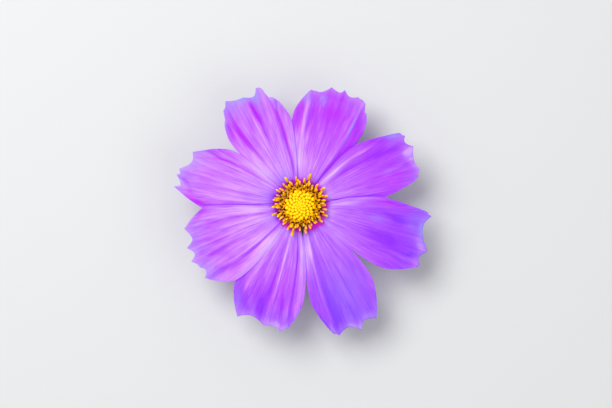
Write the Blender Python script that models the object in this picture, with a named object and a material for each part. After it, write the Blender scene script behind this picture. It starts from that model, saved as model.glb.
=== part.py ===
"""A picked cosmos flower, lying face up on its bracts and its bent stem.

Sizes are in millimetres until a mesh is made, and +Z is the way that the bloom faces. The surface
that the flower rests on is z = 0. The disc's axis stands at DISC_AXIS, so that the origin is the
middle of the whole flower's outline on that surface.
"""

import math
from collections import namedtuple

import bpy
import numpy as np

MM = 0.001
DISC_AXIS = (-0.9, 2.0)  # across the surface, from the origin to the disc's axis
GOLDEN_ANGLE = math.radians(137.508)

# Heights above the surface.
RECEPTACLE_LEVELS = (9.0, 8.2, 7.6)
RAY_HEIGHT = 13.0  # where the petals leave the disc

# Petals.
PETAL_THICKNESS = 0.6
CLAW_START = 3.5  # distance of a petal's foot from the axis
CLAW_HALF_WIDTH = 0.9
CLAW_RISE = 0.9  # how far the claw climbs as it leaves the disc
CLAW_RISE_LENGTH = 3.0
SPREAD_SLOPE = math.tan(math.radians(5.5))
TIP_BEND_START = 20.0
TIP_BEND_LENGTH = 18.0
EDGE_LIFT = 0.7  # an upper edge stands this far above the petal's middle, a lower edge this far below
EDGE_LIFT_POWER = 1.5
SIDE_NARROWING = 1.6  # how late a side turns in to its last tooth
PETAL_ROWS = 10
WIDEST_COLUMN = 0.16  # in shares of the half width

# One side of a petal: its half width where it is widest, how far out that is, and how fast it widens.
Side = namedtuple("Side", "half_width widest_at power over_neighbour")
# margin lists the toothed end from the left side to the right as (across, along): teeth and the
# rounded notches between them in turn. folds are (place across, height, width), place and width in
# shares of the half width. tip is how far the outer end bends up or down.
Petal = namedtuple("Petal", "name azimuth root_azimuth left right tip margin folds")

PETALS = [
    Petal(
        "petal_1", 115, 116,
        Side(11.1, 27.0, 1.45, False), Side(8.6, 25.0, 1.3, True), -1.0,
        [(10.6, 30.3), (9.8, 32.2), (9.0, 35.0), (8.5, 35.6), (7.1, 37.6), (2.8, 36.4), (1.6, 36.3),
         (-1.0, 35.3), (-2.9, 37.5), (-3.3, 37.4), (-4.3, 36.3), (-5.4, 33.1), (-7.6, 30.5)],
        [(0.73, 0.30, 0.07), (0.59, -0.50, 0.08), (0.00, -0.50, 0.08), (-0.62, -0.50, 0.09)],
    ),
    Petal(
        "petal_2", 72, 71,
        Side(10.4, 26.0, 1.9, False), Side(11.4, 27.0, 1.35, False), -1.5,
        [(7.6, 33.8), (5.2, 34.0), (1.8, 36.5), (-0.9, 35.7), (-2.2, 36.9), (-4.4, 35.4),
         (-6.6, 36.2), (-7.6, 35.8), (-9.4, 34.7), (-10.1, 32.3), (-11.4, 29.5)],
        [(0.68, 0.45, 0.10), (-0.62, 0.35, 0.08)],
    ),
    Petal(
        "petal_3", 22, 26,
        Side(10.5, 23.5, 1.6, True), Side(7.4, 24.0, 1.15, False), -0.5,
        [(9.0, 35.3), (8.4, 36.0), (7.4, 36.9), (6.0, 36.1), (3.6, 38.0), (-1.2, 36.6),
         (-3.3, 37.4), (-5.0, 36.2), (-6.4, 33.8)],
        [(0.76, 0.45, 0.10), (0.50, -0.25, 0.15), (-0.50, -0.25, 0.10)],
    ),
    Petal(
        "petal_4", -16, -19,
        Side(9.2, 25.0, 1.6, True), Side(11.3, 29.0, 1.5, False), -2.5,
        [(8.7, 36.6), (8.3, 37.7), (7.6, 38.9), (4.2, 37.3), (-2.8, 40.7), (-5.6, 38.7),
         (-7.2, 39.6), (-7.9, 39.2), (-8.7, 38.2)],
        [(0.50, -0.30, 0.20), (-0.20, -0.40, 0.28)],
    ),
    Petal(
        "petal_5", -67, -64,
        Side(11.4, 29.0, 1.65, True), Side(8.4, 28.5, 1.15, False), -3.0,
        [(7.9, 40.3), (4.5, 39.4), (2.4, 42.0), (-1.2, 39.5), (-4.5, 40.8), (-5.5, 39.8), (-6.5, 37.8)],
        [(-0.52, 0.40, 0.09), (-0.32, -0.40, 0.10), (0.35, 0.25, 0.25)],
    ),
    Petal(
        "petal_6", -106, -109,
        Side(8.9, 28.0, 1.55, True), Side(12.4, 28.0, 1.2, False), -1.5,
        [(7.5, 34.9), (6.3, 36.7), (4.8, 38.1), (2.4, 37.1), (-0.6, 37.6), (-5.2, 35.9), (-8.8, 37.3)],
        [(0.57, -0.40, 0.08), (-0.08, 0.25, 0.07), (-0.20, -0.40, 0.08), (-0.60, -0.25, 0.15)],
    ),
    Petal(
        "petal_7", -155, -154,
        Side(12.3, 27.0, 1.6, True), Side(11.6, 26.0, 1.15, True), 0.5,
        [(7.8, 34.9), (5.7, 33.7), (4.4, 34.9), (4.0, 35.0), (1.6, 36.6), (-0.1, 34.7),
         (-2.6, 36.1), (-4.6, 33.4), (-8.1, 34.3)],
        [(-0.60, -0.35, 0.08), (0.17, -0.35, 0.10), (0.65, -0.45, 0.09), (0.84, 0.20, 0.10)],
    ),
    Petal(
        "petal_8", 164, 161,
        Side(9.3, 25.0, 1.1, False), Side(10.2, 24.5, 1.5, True), -0.5,
        [(5.0, 37.8), (4.1, 36.1), (1.4, 38.0), (0.8, 37.1), (-0.5, 37.7), (-4.0, 34.6),
         (-6.4, 35.2), (-6.8, 34.2), (-7.0, 33.2)],
        [(-0.69, -0.45, 0.08), (0.10, 0.20, 0.30)],
    ),
]

# Disc.
COLUMN_RADIUS = 2.65  # the packed feet of the florets, inside the inner bracts
COLUMN_FOOT = RECEPTACLE_LEVELS[0] + 0.4
DOME_RADIUS = 4.7
DOME_FOOT = RAY_HEIGHT + 1.6
DOME_HEIGHT = 2.2
DOME_LEVELS = (90, 75, 50, 25, 6)  # degrees from the pole, brim first
DOME_SIDES = 20
BUD_LEAN = 38  # degrees outwards at the dome's brim
BUD_COUNT = 46
BUD_SPACING = 0.56  # the spiral's radius grows with this times the root of the bud's number
BUD_RADIUS = 0.54
BUD_LENGTH = 1.5
BUD_OUTLINE = [(-0.5, 0.8), (0.4, 1.0), (0.85, 0.7), (1.0, 0.15)]  # (share of its length, of its radius)
OPEN_RINGS = [  # (florets, distance of the foot from the axis, lean outwards, length)
    (13, 3.7, 35, 4.1),
    (15, 3.8, 62, 4.8),
]
# An open floret's outline: (share of its length, radius), from its foot to its pollen tip.
OPEN_OUTLINE = [(0.0, 0.42), (0.64, 0.74), (0.71, 0.36), (0.86, 0.36), (0.93, 0.50), (1.0, 0.22)]

# Bracts and stem.
BRACT_COUNT = 8
BRACT_THICKNESS = 0.6
BRACT_CHANNEL = 0.3  # how far a bract's edges rise above its rib, in shares of its half width
OUTER_BRACT_AZIMUTH = 3.5  # of the first outer bract; they stand in the gaps between the petals
OUTER_BRACT_HALF_WIDTHS = [(0.0, 1.15), (0.2, 1.75), (0.4, 1.6), (0.62, 0.75), (0.85, 0.42), (1.0, 0.3)]
OUTER_BRACT_TIPS = [0.0, 3.0, 1.4, 0.0, 2.6, 1.2, 0.0, 3.2]  # heights; the flower stands on three of them
TIP_EDGE = 0.07  # from a tip's lowest corner up to the middle of its end
OUTER_BRACT_ROWS = 8
COLLAR_RADII = (2.75, 3.35)
COLLAR_HEIGHTS = (7.7, 8.7)
COLLAR_SIDES = 24
INNER_BRACT_AZIMUTH = 26
INNER_BRACT_ROWS = 6
INNER_BRACT_COLUMNS = 40
INNER_BRACT_SPINE = [(3.3, 9.05), (3.7, 11.2), (4.5, 12.3), (6.4, 12.6)]  # its wall's middle, foot to point
SINUS_DEPTH = 0.6  # how far up a bract its sides are joined to the next one's
STEM_RADIUS = 0.88
STEM_SIDES = 10
STEM_AZIMUTH = 26
STEM_SWEEP = 0.12  # degrees that the lying stem turns back for each millimetre
STEM_REACH = 34.0
RECEPTACLE_RADIUS = 2.4
FLARE_FOOT = 6.4
STEM_CORNERS = [(0.0, 7.0), (0.0, 1.4), (5.5, STEM_RADIUS), (16.0, STEM_RADIUS)]


def smooth_step(x):
    x = np.clip(x, 0.0, 1.0)
    return x * x * (3 - 2 * x)


# ---------------------------------------------------------------- petals


def margin_along(petal, across):
    """How far out the toothed end lies at this place across. Notches are rounded, teeth are pointed."""
    for index, ((start_x, start_y), (end_x, end_y)) in enumerate(zip(petal.margin, petal.margin[1:])):
        if end_x <= across <= start_x:
            share = (start_x - across) / (start_x - end_x)
            if index % 2 == 0:  # from a tooth down to a notch
                return end_y + (start_y - end_y) * (1 - math.cos((1 - share) * math.pi / 2))
            return start_y + (end_y - start_y) * (1 - math.cos(share * math.pi / 2))
    raise ValueError(f"{across} is outside the margin of {petal.name}")


def side_half_width(side, end, share):
    """Half width on one side, at this share of the way from the claw to that side's last tooth."""
    end_across, end_along = end
    along = CLAW_START + share * (end_along - CLAW_START)
    foot = CLAW_HALF_WIDTH / side.half_width
    if along < side.widest_at:
        left_to_go = (side.widest_at - along) / (side.widest_at - CLAW_START)
        return side.half_width * (1 - (1 - foot) * left_to_go**side.power)
    beyond = (along - side.widest_at) / max(end_along - side.widest_at, 1e-6)
    return side.half_width + (abs(end_across) - side.half_width) * beyond**SIDE_NARROWING


def petal_height(petal, reach, share, place):
    """Height of the petal's middle surface: place runs from -1 at the right edge to 1 at the left."""
    out = reach - CLAW_START
    height = RAY_HEIGHT + CLAW_RISE * (1 - math.exp(-out / CLAW_RISE_LENGTH)) + SPREAD_SLOPE * out
    height += petal.tip * max(0.0, (reach - TIP_BEND_START) / TIP_BEND_LENGTH) ** 2
    side = petal.left if place > 0 else petal.right
    lift = EDGE_LIFT if side.over_neighbour else -EDGE_LIFT
    height += lift * abs(place) ** EDGE_LIFT_POWER * smooth_step(share / 0.12)
    for centre, tall, wide in petal.folds:
        height += tall * math.exp(-(((place - centre) / wide) ** 2)) * smooth_step(share / 0.45)
    return height


def petal_point(petal, share, place):
    """A point of a petal's middle surface, pointing along +X. Its foot turns to its place on the disc."""
    side, end = (petal.left, petal.margin[0]) if place >= 0 else (petal.right, petal.margin[-1])
    across = place * side_half_width(side, end, share)
    along = CLAW_START + share * (margin_along(petal, place * abs(end[0])) - CLAW_START)
    turn = math.radians(petal.root_azimuth - petal.azimuth) * (1 - smooth_step(share / 0.3))
    return (
        along * math.cos(turn) - across * math.sin(turn),
        along * math.sin(turn) + across * math.cos(turn),
        petal_height(petal, math.hypot(along, across), share, place),
    )


def column_places(petal):
    """Places across for the petal's columns: at each tooth, notch and fold, with wide gaps halved."""
    places = {x / abs((petal.margin[0] if x >= 0 else petal.margin[-1])[0]) for x, _ in petal.margin}
    places |= {centre for centre, _, _ in petal.folds}
    kept = []
    for place in sorted(places):
        if not kept or place - kept[-1] > 0.03:
            kept.append(place)
    kept[-1] = 1.0
    columns = [kept[0]]
    for start, end in zip(kept, kept[1:]):
        pieces = math.ceil((end - start) / WIDEST_COLUMN)
        columns += [start + (end - start) * (k + 1) / pieces for k in range(pieces)]
    return columns


def petal_rows():
    """Shares along for the petal's rows, closer together near the claw."""
    return [(k / PETAL_ROWS) ** 1.15 for k in range(PETAL_ROWS + 1)]


# ---------------------------------------------------------------- closed meshes


def grid_normals(points):
    along = np.gradient(points, axis=0)
    across = np.gradient(points, axis=1)
    normals = np.cross(along, across)
    return normals / np.linalg.norm(normals, axis=2, keepdims=True)


def blade_faces(rows, columns, wraps=False):
    """Triangles of a thin closed blade: a grid on each face, alike, and a wall round the edge."""
    count = rows * columns
    spans = columns if wraps else columns - 1
    faces = []

    def at(row, column):
        return row * columns + column % columns

    for row in range(rows - 1):
        for column in range(spans):
            a, b = at(row, column), at(row, column + 1)
            c, d = at(row + 1, column + 1), at(row + 1, column)
            for face in ((a, c, d), (a, b, c)):
                faces += [face[::-1], tuple(count + corner for corner in face)]
    rim = [(at(0, k), at(0, k + 1)) for k in range(spans)]
    rim += [(at(rows - 1, k + 1), at(rows - 1, k)) for k in range(spans)]
    if not wraps:
        rim += [(at(k + 1, 0), at(k, 0)) for k in range(rows - 1)]
        rim += [(at(k, columns - 1), at(k + 1, columns - 1)) for k in range(rows - 1)]
    for a, b in rim:
        faces += [(a, b, count + b), (a, count + b, count + a)]
    return faces


def blade(points, thickness, wraps=False):
    """(points, faces) of a closed blade round a grid of middle-surface points."""
    points = np.array(points, float)
    if wraps:
        padded = np.concatenate([points[:, -1:], points, points[:, :1]], axis=1)
        normals = grid_normals(padded)[:, 1:-1]
    else:
        normals = grid_normals(points)
    upper = (points + normals * thickness / 2).reshape(-1, 3)
    lower = (points - normals * thickness / 2).reshape(-1, 3)
    return np.concatenate([upper, lower]), blade_faces(*points.shape[:2], wraps)


def lathe(outline, sides):
    """(points, faces) of a turned solid from (radius, height) pairs, lowest first, on the Z axis."""
    angles = np.arange(sides) * 2 * math.pi / sides
    rings = [
        [(radius * math.cos(a), radius * math.sin(a), height) for a in angles] for radius, height in outline
    ]
    points = [p for ring in rings for p in ring]
    faces = []
    for ring in range(len(outline) - 1):
        for k in range(sides):
            a, b = ring * sides + k, ring * sides + (k + 1) % sides
            faces += [(a, b, b + sides), (a, b + sides, a + sides)]
    top = (len(outline) - 1) * sides
    for k in range(1, sides - 1):
        faces += [(0, k + 1, k), (top, top + k, top + k + 1)]
    return np.array(points, float), faces


def tube(centres, radii, sides):
    """(points, faces) of a closed tube along a curve, its rings square to the curve."""
    centres = np.array(centres, float)
    ways = np.gradient(centres, axis=0)
    ways /= np.linalg.norm(ways, axis=1, keepdims=True)
    side = np.cross(ways[0], (0.0, 1.0, 0.3))
    points = []
    for centre, way, radius in zip(centres, ways, radii):
        side = side - way * np.dot(side, way)
        side /= np.linalg.norm(side)
        up = np.cross(way, side)
        for k in range(sides):
            angle = k * 2 * math.pi / sides
            points.append(centre + radius * (math.cos(angle) * side + math.sin(angle) * up))
    outline = [(1.0, float(k)) for k in range(len(centres))]
    return np.array(points), lathe(outline, sides)[1]


# ---------------------------------------------------------------- Blender objects


def plain_material(name, colour, roughness):
    """A dull material with this colour."""
    material = bpy.data.materials.new(name)
    material.use_nodes = True
    shader = material.node_tree.nodes["Principled BSDF"]
    shader.inputs["Base Color"].default_value = (*colour, 1.0)
    shader.inputs["Roughness"].default_value = roughness
    shader.inputs["Metallic"].default_value = 0.0
    return material


def make_mesh(name, points, faces, material):
    """A smooth-shaded mesh from points in millimetres."""
    mesh = bpy.data.meshes.new(name)
    mesh.from_pydata((np.array(points) * MM).tolist(), [], faces)
    mesh.shade_smooth()
    mesh.set_sharp_from_angle(angle=math.radians(50))
    mesh.materials.append(material)
    return mesh


def add_object(name, mesh, foot=(0.0, 0.0, 0.0), lean=0.0, azimuth=0.0, collection=None):
    """An object whose foot is given from the disc's axis, leant outwards, then turned to its azimuth."""
    obj = bpy.data.objects.new(name, mesh)
    axis_x, axis_y = DISC_AXIS
    obj.location = ((axis_x + foot[0]) * MM, (axis_y + foot[1]) * MM, foot[2] * MM)
    obj.rotation_euler = (0.0, lean, azimuth)
    (collection or bpy.context.scene.collection).objects.link(obj)
    return obj


def join_repeats(body, repeats):
    """Joins a collection of repeats to the body that they grow from, in one union."""
    union = body.modifiers.new("join", "BOOLEAN")
    union.operation = "UNION"
    union.operand_type = "COLLECTION"
    union.solver = "EXACT"
    union.collection = repeats
    bpy.context.view_layer.update()
    joined = bpy.data.meshes.new_from_object(body.evaluated_get(bpy.context.evaluated_depsgraph_get()))
    body.modifiers.remove(union)
    body.data = joined
    for obj in list(repeats.objects):
        bpy.data.objects.remove(obj)
    bpy.data.collections.remove(repeats)


def new_collection(name):
    collection = bpy.data.collections.new(name)
    bpy.context.scene.collection.children.link(collection)
    return collection


# ---------------------------------------------------------------- the flower's pieces


def make_petals(material):
    for petal in PETALS:
        places = column_places(petal)
        middle = [[petal_point(petal, share, place) for place in places] for share in petal_rows()]
        mesh = make_mesh(petal.name, *blade(middle, PETAL_THICKNESS), material)
        add_object(petal.name, mesh, azimuth=math.radians(petal.azimuth))


def dome_height(reach):
    """Height of the receptacle's dome under a floret this far from the axis."""
    return DOME_FOOT + DOME_HEIGHT * math.sqrt(max(0.0, 1 - (reach / DOME_RADIUS) ** 2))


def on_dome(reach, azimuth, sunk):
    """The foot of a floret that stands on the dome, sunk into it by this much."""
    return (reach * math.cos(azimuth), reach * math.sin(azimuth), dome_height(reach) - sunk)


def make_disc_florets(material):
    """The yellow disc: closed buds in a spiral on a dome, and two rings of open florets leaning out."""
    reaches = [DOME_RADIUS * math.sin(math.radians(angle)) for angle in DOME_LEVELS]
    outline = [(COLUMN_RADIUS, COLUMN_FOOT), (COLUMN_RADIUS, RAY_HEIGHT + 0.4), (3.6, RAY_HEIGHT + 1.5)]
    outline += [(reach, dome_height(reach)) for reach in reaches]
    body = add_object("disc_florets", make_mesh("disc_florets", *lathe(outline, DOME_SIDES), material))
    repeats = new_collection("florets")
    outline = [(BUD_RADIUS * radius, BUD_LENGTH * share) for share, radius in BUD_OUTLINE]
    bud = make_mesh("bud", *lathe(outline, 6), material)
    for number in range(BUD_COUNT):
        azimuth = number * GOLDEN_ANGLE
        reach = BUD_SPACING * math.sqrt(number + 0.5)
        lean = BUD_LEAN * reach / DOME_RADIUS
        add_object("bud", bud, on_dome(reach, azimuth, 0.3), math.radians(lean), azimuth, repeats)
    for ring, (count, reach, lean, length) in enumerate(OPEN_RINGS):
        outline = [(radius, share * length) for share, radius in OPEN_OUTLINE]
        floret = make_mesh("floret", *lathe(outline, 5), material)
        for number in range(count):
            azimuth = (number + 0.5 * ring) * 2 * math.pi / count
            sunk = 0.6 + 0.25 * math.sin(5 * number + 2 * ring)
            foot = on_dome(reach, azimuth, sunk)
            add_object("floret", floret, foot, math.radians(lean), azimuth, repeats)
    join_repeats(body, repeats)


def bezier(corners, share):
    """A point of the cubic curve with these four corners."""
    weights = [(1 - share) ** 3, 3 * share * (1 - share) ** 2, 3 * share**2 * (1 - share), share**3]
    return sum(w * np.array(c, float) for w, c in zip(weights, corners))


def outer_bract_points(tip_height):
    """Middle surface of one outer bract along +X: it leaves the collar nearly level and arches down."""
    bend = (11.4 + 0.3 * tip_height, 6.4 + 0.5 * tip_height)
    spine = [(3.0, 8.2), (7.4, 9.6), bend, (12.4 + 0.35 * tip_height, TIP_EDGE + tip_height)]
    shares = np.linspace(0, 1, OUTER_BRACT_ROWS)
    rows = []
    for share, half_width in zip(shares, np.interp(shares, *zip(*OUTER_BRACT_HALF_WIDTHS))):
        reach, height = bezier(spine, share)
        channel = BRACT_CHANNEL * half_width * math.sin(math.pi * share)
        places = (-1.0, -0.5, 0.0, 0.5, 1.0)
        rows.append([(reach, place * half_width, height + channel * place * place) for place in places])
    return rows


def collar():
    """(points, faces) of the square-edged ring that the outer bracts grow from."""
    inside, outside = COLLAR_RADII
    low, high = COLLAR_HEIGHTS
    points, faces = [], []
    for radius, height in ((inside, low), (outside, low), (outside, high), (inside, high)):
        for k in range(COLLAR_SIDES):
            turn = k * 2 * math.pi / COLLAR_SIDES
            points.append((radius * math.cos(turn), radius * math.sin(turn), height))
    for corner in range(4):
        this, after = corner * COLLAR_SIDES, (corner + 1) % 4 * COLLAR_SIDES
        for k in range(COLLAR_SIDES):
            beside = (k + 1) % COLLAR_SIDES
            faces += [(this + k, this + beside, after + beside), (this + k, after + beside, after + k)]
    return np.array(points), faces


def make_outer_bracts(material):
    """Eight green bracts, grown together at their feet in a collar under the cup."""
    body = add_object("outer_bracts", make_mesh("outer_bracts", *collar(), material))
    repeats = new_collection("bracts")
    for number, tip_height in enumerate(OUTER_BRACT_TIPS):
        azimuth = math.radians(OUTER_BRACT_AZIMUTH + number * 360 / BRACT_COUNT)
        mesh = make_mesh("bract", *blade(outer_bract_points(tip_height), BRACT_THICKNESS), material)
        add_object("bract", mesh, azimuth=azimuth, collection=repeats)
    join_repeats(body, repeats)


def make_inner_bracts(material):
    """The cup of eight broad bracts round the florets' feet, the point of one under each petal."""
    middle = math.radians(INNER_BRACT_AZIMUTH)
    grid = []
    for level in np.linspace(0, 1, INNER_BRACT_ROWS):
        row = []
        for k in range(INNER_BRACT_COLUMNS):
            angle = middle + k * 2 * math.pi / INNER_BRACT_COLUMNS
            lobe = abs(math.cos((angle - middle) * BRACT_COUNT / 2)) ** 0.8
            radius, height = bezier(INNER_BRACT_SPINE, level * (SINUS_DEPTH + (1 - SINUS_DEPTH) * lobe))
            row.append((radius * math.cos(angle), radius * math.sin(angle), height))
        grid.append(row)
    mesh = make_mesh("inner_bracts", *blade(grid, BRACT_THICKNESS, wraps=True), material)
    add_object("inner_bracts", mesh)


def make_stem(material):
    """The peduncle: it flares into the receptacle, bends under the bloom and lies on the surface."""
    path = [(0.0, height) for height in RECEPTACLE_LEVELS]
    path += [bezier(STEM_CORNERS, share) for share in np.linspace(0, 1, 13)]
    path += [(reach, STEM_RADIUS) for reach in np.linspace(STEM_CORNERS[-1][0], STEM_REACH, 6)[1:]]
    centres, radii = [], []
    for reach, height in path:
        azimuth = math.radians(STEM_AZIMUTH - STEM_SWEEP * reach)
        centres.append((reach * math.cos(azimuth), reach * math.sin(azimuth), height))
        flare = smooth_step((height - FLARE_FOOT) / (RECEPTACLE_LEVELS[1] - FLARE_FOOT))
        radii.append(STEM_RADIUS + (RECEPTACLE_RADIUS - STEM_RADIUS) * flare)
    add_object("stem", make_mesh("stem", *tube(centres, radii, STEM_SIDES), material))


def main():
    for obj in list(bpy.data.objects):
        bpy.data.objects.remove(obj)
    petal = plain_material("petal", (0.50, 0.13, 0.90), 0.55)
    floret = plain_material("floret", (0.95, 0.62, 0.02), 0.6)
    green = plain_material("bract_green", (0.16, 0.30, 0.07), 0.55)
    inner = plain_material("bract_inner", (0.52, 0.48, 0.16), 0.5)
    stem = plain_material("stem_green", (0.25, 0.26, 0.07), 0.55)
    make_petals(petal)
    make_disc_florets(floret)
    make_outer_bracts(green)
    make_inner_bracts(inner)
    make_stem(stem)


main()
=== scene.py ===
# %% [markdown]
# # A cosmos flower, picked and laid face up
# Garden cosmos has eight broad violet rays round a small yellow disc. Each ray is one thin petal,
# folded lengthwise and toothed at its end. The disc is a head of tiny tube-shaped florets: the
# middle ones are closed buds, and the outer ones are open, with dark anther tubes and pollen tips.
# Under it are a cup of broad inner bracts, a ring of narrow green outer bracts, and the stem.
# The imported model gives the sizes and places, and this lesson gives each piece its fine shape and
# its finish.

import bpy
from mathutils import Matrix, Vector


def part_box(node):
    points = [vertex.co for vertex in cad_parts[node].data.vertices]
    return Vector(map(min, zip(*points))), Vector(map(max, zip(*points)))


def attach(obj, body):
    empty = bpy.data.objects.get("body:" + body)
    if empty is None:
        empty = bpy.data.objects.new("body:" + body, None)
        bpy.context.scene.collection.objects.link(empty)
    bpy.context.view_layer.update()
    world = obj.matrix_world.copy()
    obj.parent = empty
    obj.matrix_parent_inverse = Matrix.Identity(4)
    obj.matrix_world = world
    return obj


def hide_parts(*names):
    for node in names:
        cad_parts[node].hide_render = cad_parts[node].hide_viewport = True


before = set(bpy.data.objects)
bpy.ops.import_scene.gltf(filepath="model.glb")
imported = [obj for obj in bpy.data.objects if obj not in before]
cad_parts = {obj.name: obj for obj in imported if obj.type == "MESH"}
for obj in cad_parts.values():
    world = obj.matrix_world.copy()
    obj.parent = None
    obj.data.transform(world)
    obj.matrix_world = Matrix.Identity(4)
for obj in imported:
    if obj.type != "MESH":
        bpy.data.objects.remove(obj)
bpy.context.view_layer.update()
print("nodes:", sorted(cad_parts))

# %% Units and the disc's axis
import math
from collections import namedtuple

import bpy
import numpy as np
from mathutils import Vector

MM = 0.001
GOLDEN_ANGLE = math.radians(137.508)

cup_low, cup_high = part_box("inner_bracts")
DISC_AXIS = ((np.array(cup_low) + np.array(cup_high)) / 2 / MM)[:2]  # the cup is round the axis
print("disc axis, mm:", DISC_AXIS.round(2))

# %% [markdown]
# ## Camera
# The bloom is seen from straight above with a long lens, so it hardly tapers. The view is as wide
# as its distance makes it: a little over twice the bloom, with the bloom slightly left of centre.

# %% Make the camera
VIEW_CENTRE = (DISC_AXIS[0] + 1.8, DISC_AXIS[1] + 0.3)
VIEW_WIDTH = 183.6
PETAL_PLANE = 15.0  # height of the petals, where the view's width is measured
LENS = 100.0
SENSOR = 36.0

camera_data = bpy.data.cameras.new("camera")
camera_data.lens = LENS
camera_data.sensor_width = SENSOR
camera = bpy.data.objects.new("camera", camera_data)
camera_height = PETAL_PLANE + VIEW_WIDTH * LENS / SENSOR
camera.location = (VIEW_CENTRE[0] * MM, VIEW_CENTRE[1] * MM, camera_height * MM)
bpy.context.scene.collection.objects.link(camera)
bpy.context.scene.camera = camera
print("camera height, mm:", round(camera_height, 1))

# %% [markdown]
# ## Nodes and colours
# Every material and every Geometry Nodes tree below is built with one helper that adds a node,
# sets it up and links it. Colours are written as sRGB hex values, as a paint shop would name them,
# and turned into the linear values that the renderer works in. A material's plain values go
# straight onto its shader's own sockets.

# %% Helpers for nodes and colours
def linear(hex_colour):
    """The linear RGBA of an sRGB hex colour."""
    values = [int(hex_colour[k:k + 2], 16) / 255 for k in (1, 3, 5)]
    return (*[v / 12.92 if v <= 0.04045 else ((v + 0.055) / 1.055) ** 2.4 for v in values], 1.0)


def find_socket(sockets, key):
    """The socket with this number, identifier or name."""
    if isinstance(key, int):
        return sockets[key]
    return next(socket for socket in sockets if key in (socket.identifier, socket.name))


def add_node(tree, kind, inputs=None, stops=(), **settings):
    """Adds a node. An input is given as another node's output, to link it, or as a plain value.

    A colour ramp also takes its stops, as (place, hex colour)."""
    node = tree.nodes.new(kind)
    for name, value in settings.items():
        setattr(node, name, value)
    for key, value in (inputs or {}).items():
        socket = find_socket(node.inputs, key)
        if isinstance(value, bpy.types.NodeSocket):
            tree.links.new(value, socket)
        else:
            socket.default_value = value
    for _ in stops[2:]:  # a new ramp has two stops
        node.color_ramp.elements.new(0.5)
    for number, (place, colour) in enumerate(stops):
        node.color_ramp.elements[number].position = place
        node.color_ramp.elements[number].color = linear(colour)
    return node


def new_material(name, values):
    """A material with these values on its Principled shader, and its node tree."""
    material = bpy.data.materials.new(name)
    material.use_nodes = True
    for socket, value in values.items():
        material.node_tree.nodes["Principled BSDF"].inputs[socket].default_value = value
    return material, material.node_tree


def dress(tree, height, strength, depth, colour=None):
    """Gives a material's shader a bump, its depth in mm, and a colour if that isn't plain."""
    shader = tree.nodes["Principled BSDF"]
    bump = add_node(tree, "ShaderNodeBump", {
        "Height": height, "Strength": strength, "Distance": depth * MM,
    })
    tree.links.new(bump.outputs[0], shader.inputs["Normal"])
    if colour is not None:
        tree.links.new(colour, shader.inputs["Base Color"])


# %% [markdown]
# ## Studio
# A plain pale floor carries the flower. A broad soft box to the upper left gives the petals' folds
# their shape, a second one fills from the lower right, and the pale surroundings lift the shadows.

# %% Make the floor and the lights
FLOOR_HALF = 600.0  # half of its side in mm
ROLLER_TOOTH = 1 / 0.9  # mm between the bumps that the paint roller leaves
SOFT_BOXES = {  # place and width in metres, power in watts
    "key": ((-0.26, 0.27, 0.62), 0.42, 4.6),
    "fill": ((0.40, -0.28, 0.60), 0.60, 1.2),
}
SURROUNDINGS = ("#F4F5FA", 0.55)  # colour and strength


def floor_material():
    """Matt painted board: pale, even and dull, with the faint tooth that a paint roller leaves."""
    material, tree = new_material("painted board", {"Base Color": linear("#D0D1D0"), "Roughness": 0.9})
    place = add_node(tree, "ShaderNodeTexCoord").outputs["Object"]
    tooth = add_node(tree, "ShaderNodeTexNoise", {
        "Vector": place, "Scale": 1 / (ROLLER_TOOTH * MM), "Detail": 3.0,
    })
    dress(tree, tooth.outputs[0], 0.15, 0.1)
    return material


floor_mesh = bpy.data.meshes.new("floor")
half = FLOOR_HALF * MM
corners = [(-half, -half, 0), (half, -half, 0), (half, half, 0), (-half, half, 0)]
floor_mesh.from_pydata(corners, [], [(0, 1, 2, 3)])
floor_mesh.materials.append(floor_material())
floor = bpy.data.objects.new("floor", floor_mesh)
bpy.context.scene.collection.objects.link(floor)

for name, (place, width, power) in SOFT_BOXES.items():
    light_data = bpy.data.lights.new(name, "AREA")
    light_data.size = width
    light_data.energy = power
    light = bpy.data.objects.new(name, light_data)
    light.location = place
    light.rotation_euler = (-Vector(place)).to_track_quat("-Z", "Y").to_euler()  # faces the flower
    bpy.context.scene.collection.objects.link(light)

world = bpy.data.worlds.new("studio")
world.use_nodes = True
background = world.node_tree.nodes["Background"]
background.inputs["Color"].default_value = linear(SURROUNDINGS[0])
background.inputs["Strength"].default_value = SURROUNDINGS[1]
bpy.context.scene.world = world
bpy.context.scene.view_settings.view_transform = "Standard"

# %% [markdown]
# ## Petals: the shape
# A ray petal grows from a narrow claw into a wedge with a toothed end. It is drawn here as a sheet
# of fibres that start at the claw and end on the toothed margin. A point of it is named by its
# share of the way along and by its place across, from -1 at the right edge to 1 at the left.
# Folds and veins then need only a place across, and they fan out by themselves, as real ones do.
# Where a petal's sides turn in towards its end, the fibres run straight on and the sides cut them
# off, so a second function says which fibre passes through each point.
# A grid of such points makes the blade, which is closed round its edge and as thin as a petal is.

# %% Name each petal's sizes
# One side: half width at the widest, how far out that is, how fast it widens, and how far its edge
# stands above the blade's middle: up where it lies over the next petal, down where it lies under.
Side = namedtuple("Side", "half_width widest_at power lift")
# margin: teeth and notches in turn, left to right, as (across, along) in mm. folds: (place across,
# height in mm, width). creases: finer folds, with the shares along where they start and end.
# tone, rosy and cool: streaks and spots that make the petal paler (+) or deeper (-), pinker and bluer, as
# (place across, share along, width, length, slant, amount). Many tone streaks are painted light: deep ones
# in a fold's groove are painted shade, pale ones on its ridge a painted highlight, and deep ones along an
# edge that lies under the next petal are painted shade from that petal. paleness and pinkness are those of
# the whole petal.
Petal = namedtuple(
    "Petal",
    "name azimuth root_azimuth left right tip paleness pinkness margin folds creases tone rosy cool",
)

# Painted shade: a deeper band at the feet of the petals on the disc's upper and left side, next to the
# florets.
PAINTED_SHADE_FOOT = (0, 0.09, 0.9, 0.035, 0, -1.2)  # streaks that several petals share
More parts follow.
